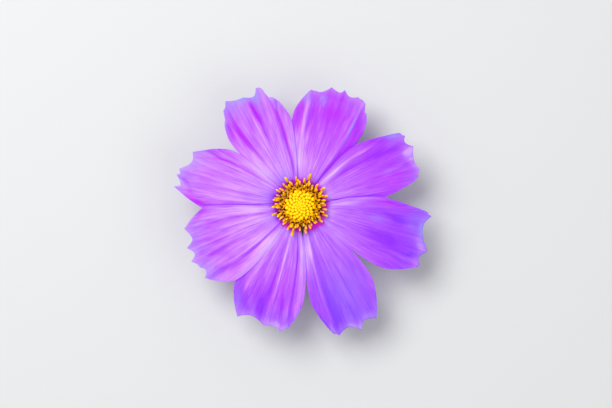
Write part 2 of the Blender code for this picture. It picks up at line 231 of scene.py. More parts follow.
# Painted light: a pale band at the feet of the right-hand petals, lifting the shade that the disc's florets
# cast there.
PAINTED_LIGHT_BAND = (0, 0.165, 1.2, 0.045, 0, 0.8)
# Partly the claw's own magenta flush and partly painted light: it makes the right-hand petals' feet
# brighter and pinker in the florets' shade.
ROSY_FOOT_AND_PAINTED_LIGHT = (0, 0.11, 1.2, 0.035, 0, 1)

PETALS = [
    Petal(
        "petal_1", 115, 116, Side(11.1, 27, 1.45, -0.3), Side(8.6, 25, 1.3, 0.3),
        tip=-1, paleness=0.3, pinkness=0.3,
        margin=[(10.6, 30.3), (9.8, 32.2), (9, 35), (8.5, 35.6), (7.1, 37.6), (2.8, 36.4), (1.6, 36.3),
            (-1, 35.3), (-2.8, 37.3), (-3.4, 37.2), (-4.4, 36.3), (-5.4, 33.1), (-7.6, 30.5)],
        folds=[(0.8, 0.25, 0.06), (0.68, -0.35, 0.06), (0.03, -0.35, 0.05), (-0.66, -0.4, 0.06)],
        creases=[(0.3, 0.1, 0.06, 0.1, 0.75), (-0.28, 0.1, 0.06, 0.1, 0.8), (0.45, 0.07, 0.05, 0, 0.5),
            (-0.86, 0.08, 0.06, 0, 0.8), (0.14, 0.08, 0.04, 0.45, 0.8), (-0.45, 0.07, 0.04, 0.1, 0.7)],
        tone=[(0.05, 0.86, 0.05, 0.1, 0.3, -1.3), (0.16, 0.72, 0.04, 0.22, 0.25, 0.55),
            (0.71, 0.66, 0.07, 0.2, 0.3, -0.6), (-0.68, 0.5, 0.07, 0.4, 0.25, -0.8),
            (-0.92, 0.42, 0.08, 0.25, 0, 0.5), (0.92, 0.45, 0.09, 0.2, 0, 0.6),
            # Painted shade: the second mark below deepens this petal's foot beside the disc.
            (0.88, 0.84, 0.08, 0.12, 0, -0.6), (0.2, 0.13, 0.6, 0.035, 0, -1),
            (-0.6, 0.8, 0.3, 0.12, 0, 0.45), (0.4, 0.8, 0.15, 0.1, 0, 0.25),
            (0.8, 0.5, 0.12, 0.1, 0, 0.35), (0, 0.25, 0.2, 0.1, 0, 0.35),
            (-0.8, 0.25, 0.15, 0.1, 0, -0.45), (0, 0.95, 0.12, 0.05, 0, -0.45),
            PAINTED_SHADE_FOOT],
        rosy=[(0.05, 0.86, 0.1, 0.14, 0.3, 1), (-0.68, 0.55, 0.1, 0.4, 0.25, 0.6),
            (0.92, 0.45, 0.1, 0.25, 0, 0.5), (0.71, 0.66, 0.12, 0.25, 0.3, 0.8)],
        cool=[(0.2, 0.99, 0.22, 0.03, 0, 0.9), (-0.2, 0.97, 0.18, 0.04, 0, 0.8),
            (0.65, 0.96, 0.2, 0.05, 0, 0.5), (0.1, 0.19, 0.6, 0.05, 0, 0.3)],
    ),
    Petal(
        "petal_2", 72, 71, Side(10.4, 26, 1.9, -0.3), Side(11.4, 27, 1.35, -0.4),
        tip=-1.5, paleness=-0.06, pinkness=0.62,
        margin=[(7.6, 33.8), (5.2, 34), (1.8, 36.5), (-0.9, 35.7), (-2.2, 36.9), (-4.4, 35.4),
            (-6.6, 36.2), (-7.6, 35.8), (-9.4, 34.7), (-10.1, 32.3), (-11.4, 29.5)],
        folds=[(0.62, 0.4, 0.07), (-0.73, 0.3, 0.06)],
        creases=[(0.62, 0.1, 0.04, 0.25, 1), (0.45, 0.07, 0.06, 0, 0.5), (0.15, 0.07, 0.05, 0, 0.5),
            (-0.15, 0.07, 0.05, 0, 0.5), (-0.4, 0.07, 0.05, 0, 0.5), (0.3, -0.05, 0.04, 0.2, 0.8),
            (-0.05, -0.05, 0.04, 0.3, 0.8)],
        tone=[(0.62, 0.62, 0.04, 0.24, 0.4, 0.8), (0.64, 0.27, 0.15, 0.15, 0, 1),
            (0.84, 0.68, 0.09, 0.14, 0.4, -0.6), (-0.08, 0.79, 0.26, 0.1, 0, -0.6),
            # Painted shade: the second mark below is the deep violet wedge cast by petal 3's overlapping
            # edge along this petal's right edge.
            (-0.73, 0.72, 0.03, 0.12, 0.15, 0.6), (-0.92, 0.38, 0.11, 0.36, -0.1, -1.7),
            (-0.84, 0.8, 0.07, 0.12, 0, -0.5), (-0.6, 0.97, 0.2, 0.05, 0, 0.3),
            (0.15, 0.25, 0.3, 0.1, 0, 0.4), (0.8, 0.5, 0.12, 0.12, 0, 0.9),
            (0.3, 0.165, 0.8, 0.04, 0, 0.3), (-0.85, 0.25, 0.12, 0.08, 0, -0.4),
            # Painted shade: the second mark below deepens this petal's foot beside the disc.
            (0, 0.94, 0.6, 0.04, 0, -0.35), (0.3, 0.09, 0.7, 0.035, 0, -0.8)],
        rosy=[(-0.1, 0.82, 0.3, 0.12, 0, 0.4)],
        cool=[(-0.73, 0.72, 0.03, 0.12, 0.15, 0.8), (0.4, 0.92, 0.07, 0.03, 0.8, 0.8),
            (0.27, 0.86, 0.05, 0.04, 0.5, 0.7), (0.9, 0.92, 0.1, 0.05, 0.9, 0.6)],
    ),
    Petal(
        "petal_3", 22, 26, Side(10.5, 23.5, 1.6, 0.4), Side(7.4, 24, 1.15, -0.3),
        tip=-0.5, paleness=-0.28, pinkness=0.38,
        margin=[(9, 35.3), (8.4, 36), (7.4, 36.9), (6, 36.1), (3.6, 38), (-1.2, 36.6), (-3.3, 37.4),
            (-5, 36.2), (-6.4, 33.8)],
        folds=[(0.74, 0.18, 0.05), (0.5, -0.2, 0.15), (-0.85, -0.25, 0.06)],
        creases=[(0.72, 0.04, 0.03, 0, 0.75), (-0.15, 0.06, 0.05, 0, 0.5), (0.2, 0.06, 0.05, 0, 0.45),
            (-0.68, 0.07, 0.05, 0, 0.7), (0.45, 0.05, 0.05, 0, 0.4), (0.05, -0.05, 0.04, 0.3, 0.8),
            (-0.35, 0.06, 0.04, 0.2, 0.8)],
        tone=[(0.74, 0.63, 0.03, 0.16, 0.43, 0.4), (0.76, 0.27, 0.13, 0.15, 0, 1),
            (0.93, 0.8, 0.1, 0.18, 0, -0.5), (0.5, 0.66, 0.14, 0.2, 0.2, -0.6),
            (0.56, 0.42, 0.06, 0.14, 0.2, -0.5), (-0.4, 0.3, 0.15, 0.13, 0, 0.45),
            (0.12, 0.28, 0.1, 0.12, 0, 0.25), (-0.87, 0.53, 0.03, 0.14, -0.43, -1.3),
            (-0.76, 0.6, 0.03, 0.18, -0.35, 0.45), (0.3, 0.96, 0.14, 0.05, 0, 1.3),
            (0.04, 0.98, 0.08, 0.03, 0, 0.6), (-0.4, 0.99, 0.4, 0.02, 0, 0.6),
            # Painted shade: the second mark below deepens the right edge where it lies under petal 4.
            (-0.06, 0.92, 0.1, 0.04, 0, -0.6), (-0.97, 0.3, 0.05, 0.25, 0, -0.6),
            (0.8, 0.25, 0.15, 0.1, 0, 0.35), (-0.35, 0.25, 0.25, 0.1, 0, 0.25),
            PAINTED_LIGHT_BAND, (-0.85, 0.25, 0.1, 0.08, 0, -0.5),
            (0.2, 0.94, 0.3, 0.05, 0, 0.35)],
        rosy=[(-0.4, 0.8, 0.4, 0.15, 0, 0.3), ROSY_FOOT_AND_PAINTED_LIGHT],
        cool=[(0.92, 0.93, 0.12, 0.08, 0, 0.8), (-0.08, 0.75, 0.08, 0.06, 0, 0.35)],
    ),
    Petal(
        "petal_4", -16, -19, Side(9.2, 25, 1.6, 0.3), Side(11.3, 29, 1.5, -0.3),
        tip=-2.5, paleness=-0.28, pinkness=0.08,
        margin=[(8.7, 36.6), (8.3, 37.7), (7.6, 38.9), (4.2, 37.3), (-2.8, 40.7), (-5.6, 38.7),
            (-7.2, 39.6), (-7.9, 39.2), (-8.7, 38.2)],
        folds=[(0.5, -0.25, 0.2), (-0.2, -0.35, 0.28)],
        creases=[(0.72, 0.06, 0.04, 0.1, 0.6), (0.3, 0.06, 0.05, 0, 0.5), (0.05, 0.06, 0.05, 0, 0.5),
            (-0.25, 0.06, 0.05, 0, 0.5), (-0.55, 0.07, 0.05, 0, 0.6), (0.5, -0.05, 0.03, 0.2, 0.8),
            (-0.75, 0.05, 0.05, 0, 0.6)],
        tone=[(0.75, 0.25, 0.17, 0.12, 0, 1), (-0.92, 0.3, 0.12, 0.14, 0, 0.6),
            (0.45, 0.76, 0.12, 0.1, 0.1, -0.8), (-0.28, 0.66, 0.2, 0.13, 0, -0.7),
            (-0.52, 0.92, 0.1, 0.06, 0, -0.5), (0.88, 0.6, 0.05, 0.14, 0.25, -0.8),
            (0.35, 0.9, 0.12, 0.05, 0, 0.4), (-0.2, 0.96, 0.22, 0.035, 0, 0.8),
            (-0.8, 0.97, 0.12, 0.03, 0, 0.4), (0.2, 0.24, 0.4, 0.08, 0, 0.3),
            (-0.8, 0.25, 0.2, 0.1, 0, 0.25), PAINTED_LIGHT_BAND,
            (-0.2, 0.94, 0.3, 0.05, 0, 0.45), (0.42, 0.94, 0.12, 0.05, 0, -0.5)],
        rosy=[(0.86, 0.62, 0.1, 0.12, 0.2, 0.6), (-0.8, 0.96, 0.15, 0.05, 0, 0.6),
            ROSY_FOOT_AND_PAINTED_LIGHT],
        cool=[(0.3, 0.99, 0.3, 0.025, 0, 0.9), (0.28, 0.58, 0.12, 0.08, 0, 0.3),
            (0.6, 0.93, 0.4, 0.1, 0, 0.25)],
    ),
    Petal(
        "petal_5", -67, -64, Side(11.4, 29, 1.65, 0.3), Side(8.45, 28.5, 1.3, -0.15),
        tip=-3, paleness=-0.46, pinkness=0.02,
        margin=[(7.9, 40.3), (4.5, 39.4), (2.4, 42), (-1.2, 39.5), (-4.5, 40.8), (-5.5, 39.8),
            (-6.5, 37.8)],
        folds=[(-0.54, 0.3, 0.07), (-0.34, -0.35, 0.12), (0.35, 0.2, 0.25)],
        creases=[(-0.7, 0.07, 0.05, 0, 0.7), (0.05, 0.06, 0.05, 0, 0.5), (0.3, -0.07, 0.04, 0.4, 0.9),
            (0.6, 0.07, 0.05, 0, 0.5), (0.82, 0.07, 0.05, 0, 0.5), (0.15, -0.05, 0.04, 0.3, 0.9),
            (0.48, -0.05, 0.04, 0.3, 0.9), (-0.05, -0.05, 0.04, 0.3, 0.9)],
        tone=[(-0.72, 0.26, 0.22, 0.13, 0, 0.95), (0.05, 0.22, 0.1, 0.08, 0, 0.4),
            (-0.34, 0.8, 0.16, 0.14, -0.1, -0.9), (-0.1, 0.77, 0.12, 0.12, 0, -0.4),
            (-0.56, 0.62, 0.04, 0.3, 0, 0.4), (0.31, 0.66, 0.03, 0.16, 0.2, -0.6),
            (0.3, 0.96, 0.07, 0.04, 0, 1), (0.1, 0.985, 0.3, 0.02, 0, 0.7),
            (0.75, 0.97, 0.2, 0.03, 0, 0.5), (-0.75, 0.96, 0.08, 0.04, 0, 0.8),
            (0.95, 0.72, 0.12, 0.22, 0, 0.4), (-0.95, 0.9, 0.08, 0.1, 0, -0.6),
            (0.95, 0.22, 0.12, 0.1, 0, 0.5), (-0.6, 0.25, 0.35, 0.09, 0, 0.5),
            # Painted light: the first mark below is a pale band at the foot, lifting the florets' shade.
            (0, 0.165, 1.2, 0.045, 0, 0.6), (-0.93, 0.35, 0.1, 0.16, 0, 0.7)],
        # Partly the claw's own magenta flush and partly painted light in the florets' shade.
        rosy=[(0.2, 0.11, 1.2, 0.04, 0, 1.2)],
        cool=[(0.2, 0.7, 0.7, 0.25, 0, 0.3), (-0.85, 0.32, 0.2, 0.16, 0, 0.14)],
    ),
    Petal(
        "petal_6", -106, -109, Side(8.95, 28, 1.62, 0.12), Side(12.4, 28, 1.2, -0.15),
        tip=-1, paleness=-0.08, pinkness=0.22,
        margin=[(7.5, 34.9), (6.3, 36.7), (4.8, 38.1), (2.4, 37.1), (-0.6, 37.6), (-5.2, 35.9),
            (-8.8, 37.3)],
        folds=[(0.63, -0.35, 0.05), (0.02, 0.25, 0.05), (-0.13, -0.3, 0.05), (-0.61, 0.25, 0.06)],
        creases=[(0.86, 0.08, 0.05, 0, 1), (0.3, 0.07, 0.05, 0, 0.5), (0.02, 0.08, 0.03, 0, 0.85),
            (-0.38, 0.06, 0.05, 0, 0.5), (-0.75, 0.07, 0.06, 0, 0.55), (0.42, -0.05, 0.04, 0.2, 0.8),
            (-0.3, 0.05, 0.04, 0.2, 0.7)],
        tone=[(0.86, 0.5, 0.14, 0.4, 0, 0.5), (0.62, 0.42, 0.04, 0.24, 0, -0.9),
            (0.67, 0.8, 0.04, 0.12, 0.3, -0.6), (0.34, 0.8, 0.05, 0.12, 0.6, -0.6),
            (0.02, 0.27, 0.05, 0.16, 0, 0.7), (0.02, 0.65, 0.03, 0.25, 0, 0.4),
            (-0.12, 0.6, 0.035, 0.2, 0, -0.9), (-0.3, 0.88, 0.15, 0.11, -0.2, -1.1),
            (-0.65, 0.95, 0.12, 0.05, 0, -0.4), (-0.66, 0.62, 0.05, 0.28, -0.4, 0.5),
            (-0.9, 0.82, 0.1, 0.12, 0, -0.5), (0.4, 0.98, 0.35, 0.03, 0, 0.8),
            (-0.02, 0.95, 0.08, 0.03, 0, 0.4), (0.25, 0.9, 0.12, 0.06, 0, -0.3),
            (-0.8, 0.33, 0.15, 0.2, 0, 0.8), (0.6, 0.8, 0.25, 0.1, 0, 0.3),
            # Painted light: the second mark below is a pale band at the foot, lifting the florets' shade.
            (-0.77, 0.88, 0.15, 0.1, 0, -0.85), (0, 0.165, 1.2, 0.045, 0, 0.4),
            (0.86, 0.33, 0.1, 0.15, 0, 0.4)],
        # The second mark below is partly the claw's own magenta flush and partly painted light in the
        # florets' shade.
        rosy=[(0.2, 0.6, 0.3, 0.2, 0, 0.3), (0, 0.11, 1.2, 0.035, 0, 0.6)],
        cool=[(-0.9, 0.85, 0.1, 0.12, 0, 0.35), (0.86, 0.33, 0.14, 0.2, 0, 0.12)],
    ),
    Petal(
        "petal_7", -155, -154, Side(12.3, 27, 1.6, 0.2), Side(11.6, 26, 1.15, 0.3),
        tip=0.2, paleness=0.38, pinkness=0.3,
        margin=[(7.8, 34.9), (5.7, 33.7), (4.4, 34.9), (4, 35), (1.6, 36.6), (-0.1, 34.7), (-2.6, 36.1),
            (-4.6, 33.4), (-8.1, 34.3)],
        folds=[(-0.5, -0.2, 0.06), (0.17, -0.15, 0.08), (0.6, -0.35, 0.05), (0.84, 0.2, 0.1)],
        creases=[(-0.35, 0.05, 0.05, 0, 0.7), (-0.15, 0.05, 0.05, 0, 0.6), (0.52, 0.06, 0.03, 0.3, 0.8),
            (0.05, 0.05, 0.05, 0, 0.6), (-0.3, -0.04, 0.03, 0.1, 0.8), (0.28, -0.04, 0.03, 0.2, 0.9),
            (0.38, 0.06, 0.04, 0, 0.6), (-0.05, -0.04, 0.03, 0.2, 0.9)],
        tone=[(0.86, 0.42, 0.14, 0.34, 0, 0.55), (0.6, 0.42, 0.035, 0.26, 0.12, -1),
            (0.6, 0.2, 0.08, 0.07, 0, -0.7), (0.69, 0.76, 0.05, 0.1, 0.3, -0.2),
            (0.53, 0.62, 0.03, 0.16, 0.2, 0.4), (0.17, 0.76, 0.05, 0.11, 0.1, -0.8),
            (-0.48, 0.26, 0.05, 0.13, 0, -0.4), (-0.75, 0.42, 0.14, 0.3, 0, 0.6),
            (-0.7, 0.76, 0.04, 0.16, -0.6, 0.5), (-0.93, 0.8, 0.08, 0.1, 0, -0.6),
            # Painted shade: the second mark below deepens this petal's foot beside the disc.
            (0.04, 0.93, 0.08, 0.05, 0, -0.4), (0, 0.13, 0.8, 0.035, 0, -0.8),
            (-0.4, 0.25, 0.12, 0.08, 0, -0.3), (0.4, 0.25, 0.12, 0.08, 0, -0.2),
            (0, 0.5, 0.12, 0.12, 0, 0.25), (0.4, 0.8, 0.12, 0.08, 0, 0.25),
            PAINTED_SHADE_FOOT],
        rosy=[],
        cool=[(0.5, 0.96, 0.12, 0.05, 0, 0.25), (-0.33, 0.95, 0.12, 0.05, 0, 0.2),
            (0.92, 0.95, 0.12, 0.06, 0, 0.15), (0, 0.19, 0.4, 0.04, 0, 0.15)],
    ),
    Petal(
        "petal_8", 164, 161, Side(9.3, 25, 1.1, -0.3), Side(10.2, 24.5, 1.5, 0.3),
        tip=-0.5, paleness=0.4, pinkness=0.3,
        margin=[(5, 37.8), (4.1, 36.1), (1.4, 38), (0.8, 37.1), (-0.5, 37.7), (-4, 34.6), (-6.4, 35.2),
            (-6.8, 34.2), (-7, 33.2)],
        folds=[(-0.66, -0.3, 0.06), (0.1, 0.2, 0.3)],
        creases=[(-0.56, 0.06, 0.04, 0, 0.8), (0.5, 0.06, 0.06, 0.2, 0.8), (0.22, -0.04, 0.04, 0.2, 0.9),
            (-0.2, 0.05, 0.05, 0, 0.7), (0, -0.04, 0.03, 0.2, 0.9), (-0.38, -0.04, 0.03, 0.2, 0.8)],
        tone=[(0.73, 0.38, 0.06, 0.26, 0.15, -1.4), (0.93, 0.78, 0.07, 0.1, 0.6, -1.3),
            (0.7, 0.9, 0.2, 0.03, 0, -0.3), (0.5, 0.62, 0.06, 0.2, 0, 0.4),
            (-0.66, 0.58, 0.04, 0.32, 0, -0.45), (-0.88, 0.72, 0.08, 0.14, 0, -0.3),
            # Painted shade: the second mark below deepens this petal's foot beside the disc.
            (-0.88, 0.38, 0.1, 0.2, 0, 0.4), (0, 0.14, 0.9, 0.04, 0, -1.1),
            (-0.45, 0.8, 0.4, 0.1, 0, 0.3), (0.8, 0.5, 0.12, 0.1, 0, -0.8),
            (0.4, 0.94, 0.14, 0.045, 0, -0.7), (0, 0.25, 0.6, 0.07, 0, -0.2),
            PAINTED_SHADE_FOOT],
        rosy=[(0.92, 0.84, 0.12, 0.12, 0, 0.8), (0.7, 0.9, 0.22, 0.05, 0, 0.8),
            (-0.66, 0.58, 0.05, 0.32, 0, 1)],
        cool=[(0, 0.98, 0.6, 0.04, 0, 0.22), (0.1, 0.2, 0.6, 0.05, 0, 0.2)],
    ),
]
print("petals:", len(PETALS), "teeth:", sum((len(p.margin) + 1) // 2 for p in PETALS))

# %% Work out a petal's outline and its fibres
CLAW_START = 3.5  # from the disc's axis
CLAW_HALF_WIDTH = 0.9
SIDE_NARROWING = 1.6  # how late a side turns in to its last tooth
FIBRE_SPREAD = 0.35  # how fast the fibres still spread where the sides turn in


def margin_along(petal, across):
    """How far out the toothed end lies at each place. Notches are rounded, teeth are pointed."""
    along = np.zeros_like(across)
    for index, ((start_x, start_y), (end_x, end_y)) in enumerate(zip(petal.margin, petal.margin[1:])):
        inside = (across <= start_x) & (across >= end_x)
        share = (start_x - across[inside]) / (start_x - end_x)
        if index % 2 == 0:  # from a tooth down to a notch
            along[inside] = end_y + (start_y - end_y) * (1 - np.cos((1 - share) * math.pi / 2))
        else:
            along[inside] = start_y + (end_y - start_y) * (1 - np.cos(share * math.pi / 2))
    return along


def side_half_width(side, end, shares):
    """Half width on one side, at these shares of the way from the claw to that side's last tooth."""
    end_across, end_along = end
    along = CLAW_START + shares * (end_along - CLAW_START)
    foot = CLAW_HALF_WIDTH / side.half_width
    left_to_go = np.clip((side.widest_at - along) / (side.widest_at - CLAW_START), 0, None)
    widening = side.half_width * (1 - (1 - foot) * left_to_go**side.power)
    beyond = np.clip((along - side.widest_at) / max(end_along - side.widest_at, 1e-6), 0, None)
    return widening + (abs(end_across) - side.half_width) * beyond**SIDE_NARROWING


def fibre_places(petal, shares, places):
    """The place across of the fibre through each point, which runs on where the sides turn in."""
    fibres = np.zeros(np.broadcast(shares, places).shape)
    for side, end, sign in ((petal.left, petal.margin[0], 1), (petal.right, petal.margin[-1], -1)):
        along = CLAW_START + shares * (end[1] - CLAW_START)
        fan = side.half_width + FIBRE_SPREAD * np.clip(along - side.widest_at, 0, None)
        plain = side_half_width(side, (side.half_width, end[1]), shares)
        here = side_half_width(side, end, shares)
        ratio = here / np.where(along > side.widest_at, fan, plain)
        fibres += np.where(sign * places > 0, places * ratio, 0.0)
    return fibres


print("widest petal, mm:", max(p.left.half_width + p.right.half_width for p in PETALS))

# %% Work out a petal's height
RAY_HEIGHT = 13.0  # of the claws above the floor
CLAW_RISE = 0.9
CLAW_RISE_LENGTH = 3.0
SPREAD_SLOPE = math.tan(math.radians(5.5))
TIP_BEND_START = 20.0
TIP_BEND_LENGTH = 18.0
EDGE_LIFT_POWER = 1.5
EDGE_LIFT_START = 0.12  # share along where an edge has its full lift
FOLD_START = 0.45  # share along where a fold has its full height
CREASE_FADE = 0.3  # share along over which a crease fades out
RIPPLE = 0.14
RIPPLE_START = 0.55  # share along where the ripples begin
RIPPLE_TURNS = (9, 21, 5)  # of the broad wave and the fine one across, and of the fine one along
FINE_RIPPLE = 0.6  # height of the fine wave as a share of the broad one's


def smooth_step(x):
    """0 below 0, 1 above 1, and a smooth rise between."""
    x = np.clip(x, 0.0, 1.0)
    return x * x * (3 - 2 * x)


def bell(x):
    """A smooth hump, 1 at 0 and nearly gone at 2 on either side."""
    return np.exp(-(x * x))


def window(shares, start, end):
    """1 between these shares along, and 0 well outside them, for a crease."""
    opening = smooth_step((shares - start + CREASE_FADE / 2) / CREASE_FADE)
    return opening * smooth_step((end - shares + CREASE_FADE / 2) / CREASE_FADE)


def ripple(petal, shares, places):
    """Small waves of the blade that grow towards its toothed end, different for each petal."""
    broad, fine, along = RIPPLE_TURNS
    shift = math.radians(petal.azimuth) * 7  # so that no two petals are alike
    fine_wave = np.sin(places * fine + 2 * shift + shares * along)
    waves = np.sin(places * broad + shift) + FINE_RIPPLE * fine_wave
    return RIPPLE * waves * smooth_step((shares - RIPPLE_START) / (1 - RIPPLE_START))


def relief(petal, shares, places):
    """Height of the folds and creases over the plain blade."""
    height = np.zeros(np.broadcast(shares, places).shape)
    for centre, tall, wide in petal.folds:
        height += tall * bell((places - centre) / wide) * smooth_step(shares / FOLD_START)
    for centre, tall, wide, start, end in petal.creases:
        height += tall * bell((places - centre) / wide) * window(shares, start, end)
    return height + ripple(petal, shares, places)


def blade_height(petal, reach, shares, places):
    """Height of the petal's middle surface above the floor."""
    out = reach - CLAW_START
    height = RAY_HEIGHT + CLAW_RISE * (1 - np.exp(-out / CLAW_RISE_LENGTH)) + SPREAD_SLOPE * out
    height += petal.tip * np.clip((reach - TIP_BEND_START) / TIP_BEND_LENGTH, 0, None) ** 2
    lift = np.where(places > 0, petal.left.lift, petal.right.lift)
    height += lift * np.abs(places) ** EDGE_LIFT_POWER * smooth_step(shares / EDGE_LIFT_START)
    return height + relief(petal, shares, fibre_places(petal, shares, places))


# %% Work out a petal's surface
CLAW_TURN = 0.3  # share along where a petal points its own way, no longer its claw's way


def petal_surface(petal, shares, places):
    """Middle surface of a petal in place, in mm: an array of rows along by columns across."""
    left_end, right_end = petal.margin[0], petal.margin[-1]
    left = side_half_width(petal.left, left_end, shares)
    right = side_half_width(petal.right, right_end, shares)
    across = places * np.where(places >= 0, left, right)
    ends = margin_along(petal, places * np.where(places >= 0, left_end[0], -right_end[0]))
    along = CLAW_START + shares * (ends - CLAW_START)
    turn = math.radians(petal.root_azimuth - petal.azimuth) * (1 - smooth_step(shares / CLAW_TURN))
    angle = math.radians(petal.azimuth) + turn
    x = DISC_AXIS[0] + along * np.cos(angle) - across * np.sin(angle)
    y = DISC_AXIS[1] + along * np.sin(angle) + across * np.cos(angle)
    z = blade_height(petal, np.hypot(along, across), shares, places)
    return np.stack([x, y, z], axis=2)


ends = [petal_surface(petal, np.ones((1, 1)), np.zeros((1, 1)))[0, 0] for petal in PETALS]
print("heights of the petals' ends, mm:", [round(float(end[2]), 1) for end in ends])

# %% [markdown]
# ## Closed blades
# Petals and bracts are both thin blades, so one function turns a grid of middle points into a
# closed mesh: a sheet above, a sheet below, and a wall round the edge. The blade thins towards its
# edge, as plant tissue does. Its UV map holds the fibre's place across and the share along, which
# the materials use to lay colour and veins along the fibres.

# %% Helpers for meshes
def grid_normals(points):
    """Directions square to a grid of points."""
    normals = np.cross(np.gradient(points, axis=0), np.gradient(points, axis=1))
    return normals / np.linalg.norm(normals, axis=2, keepdims=True)


def grid_faces(rows, columns, wraps):
    """Quads of a sheet, each as corner numbers, and the pairs of corners round its rim."""
    spans = columns if wraps else columns - 1
    row, column = np.meshgrid(np.arange(rows - 1), np.arange(spans), indexing="ij")
    a = row * columns + column
    b = row * columns + (column + 1) % columns
    quads = np.stack([a, b, b + columns, a + columns], axis=2).reshape(-1, 4)
    ring = np.arange(spans)
    last = (rows - 1) * columns
    rim = [np.stack([(ring + 1) % columns, ring], axis=1)]
    rim.append(np.stack([last + ring, last + (ring + 1) % columns], axis=1))
    if not wraps:
        edge = np.arange(rows - 1) * columns
        rim.append(np.stack([edge, edge + columns], axis=1))
        rim.append(np.stack([edge + columns + columns - 1, edge + columns - 1], axis=1))
    return quads, np.concatenate(rim)


def make_object(name, points, faces, material=None):
    """A smooth-shaded mesh object at the origin, from points in mm."""
    mesh = bpy.data.meshes.new(name)
    mesh.from_pydata((np.array(points) * MM).tolist(), [], [list(map(int, face)) for face in faces])
    mesh.shade_smooth()
    if material is not None:
        mesh.materials.append(material)
    obj = bpy.data.objects.new(name, mesh)
    bpy.context.scene.collection.objects.link(obj)
    return obj


def set_attribute(obj, name, values):
    """A float attribute on the mesh's points."""
    attribute = obj.data.attributes.new(name, "FLOAT", "POINT")
    attribute.data.foreach_set("value", np.asarray(values, dtype=np.float32).ravel())


def set_uv(obj, across, along):
    """A UV map from a value across and a value along for each point."""
    corners = np.empty(len(obj.data.loops), dtype=np.int32)
    obj.data.loops.foreach_get("vertex_index", corners)
    layer = obj.data.uv_layers.new(name="fibres")
    uv = np.stack([across.ravel()[corners], along.ravel()[corners]], axis=1)
    layer.data.foreach_set("uv", uv.astype(np.float32).ravel())


def make_blade(name, middle, thickness, across, along, material, wraps=False):
    """A closed blade round a grid of middle points, with its UV map and an underside attribute."""
    rows, columns = middle.shape[:2]
    padded = np.concatenate([middle[:, -1:], middle, middle[:, :1]], axis=1) if wraps else middle
    normals = grid_normals(padded)
    normals = normals[:, 1:-1] if wraps else normals
    offset = normals * thickness[..., None] / 2
    points = np.concatenate([(middle + offset).reshape(-1, 3), (middle - offset).reshape(-1, 3)])
    quads, rim = grid_faces(rows, columns, wraps)
    count = rows * columns
    walls = np.stack([rim[:, 0], rim[:, 1], rim[:, 1] + count, rim[:, 0] + count], axis=1)
    faces = [*quads[:, ::-1], *(quads + count), *walls[:, ::-1]]
    obj = make_object(name, points, faces, material)
    set_uv(obj, np.tile(across, (2, 1)), np.tile(along, (2, 1)))
    set_attribute(obj, "underside", np.repeat([0.0, 1.0], count))
    return obj


# %% [markdown]
# ## Petals: the finish
# A cosmos petal is thin, matt and slightly velvety. Its own colour is palest near the disc, with a magenta
# flush on the claw. Painted light lies over it: a painted highlight on the ridges, painted shade in the
# folds and under the edges of neighbouring petals, painted shade at the feet of the petals on the disc's
# upper and left side, and painted light that lifts the florets' shade from the feet on its other side. Fine
# veins run the whole length of the fibres. On the real petal they are about a third of a millimetre apart,
# and here they are drawn half as coarse again, so that they still show. Each kind of tone, from deep to
# pale, has its own ramp of colours along the petal, and the tone says how much of it shows.

# %% Helper for patterns along the fibres
def fibre_noise(tree, fibres, scale, detail, roughness=0.5):
    """Noise drawn out along the fibres, from how often it changes across and along the blade."""
    stretched = add_node(tree, "ShaderNodeMapping", {0: fibres, "Scale": (*scale, 1.0)})
    noise = add_node(tree, "ShaderNodeTexNoise", {
        "Vector": stretched.outputs[0], "Scale": 1.0, "Detail": detail, "Roughness": roughness,
    })
    return noise.outputs[0]


# %% Name the petals' patterns and colours
VEINS_ACROSS = 42.0  # veins on a petal's full width, so about half a millimetre apart
THREADS_ACROSS = 2.2 * VEINS_ACROSS
NOISE_RANGE = (0.3, 0.7)  # most of a noise's values lie between these
PETAL_PATTERNS = {  # how often across and along, detail, roughness, how far the tone swings
    "veins": ((VEINS_ACROSS, 1.6), 5.0, 0.72, 0.42),
    "threads": ((THREADS_ACROSS, 3.0), 3.0, 0.5, 0.30),
    "clouds": ((11.0, 4.5), 2.0, 0.5, 0.30),
}
PETAL_RAMPS = {  # colours along the fibres, from the claw to the teeth
    "middle": [
        (0.0, "#8A0378"), (0.105, "#B8008C"), (0.124, "#B410D0"), (0.142, "#A85CFF"), (0.24, "#B16CFF"),
        (0.36, "#B067FF"), (0.55, "#AA56FF"), (0.8, "#A246FF"), (0.94, "#995BFF"), (1.0, "#A075FF"),
    ],
    "pink": [
        (0.0, "#D003A0"), (0.108, "#FF00C0"), (0.128, "#E01CE8"), (0.145, "#B965FF"), (0.3, "#BC69FF"),
        (0.6, "#B745FF"), (0.8, "#B02EFF"), (1.0, "#AE60FF"),
    ],
    "deep": [
        (0.0, "#400330"), (0.105, "#5C0040"), (0.13, "#7A04A8"), (0.155, "#8B39FF"), (0.4, "#912EFF"),
        (0.7, "#841FFF"), (0.92, "#7F2AFF"), (1.0, "#884BFF"),
    ],
    "pale": [
        (0.0, "#B0039C"), (0.105, "#E410CC"), (0.125, "#D85CEE"), (0.145, "#C792FF"), (0.3, "#D5A7FF"),
        (0.55, "#CD8FFF"), (0.8, "#C47FFF"), (1.0, "#B594FF"),
    ],
}
PETAL_PLAIN = {"deep pink": "#A80EF4", "bluish": "#8A82FF", "lilac": "#CDA3E8"}
UNDERSIDE_SHARE = 0.5  # how much of the lilac shows below
VEIN_FADING = {1: 0.1, 2: 0.9, 3: 1.5, 4: 0.7}  # from 1.5 times at a tenth of the length to 0.7 times
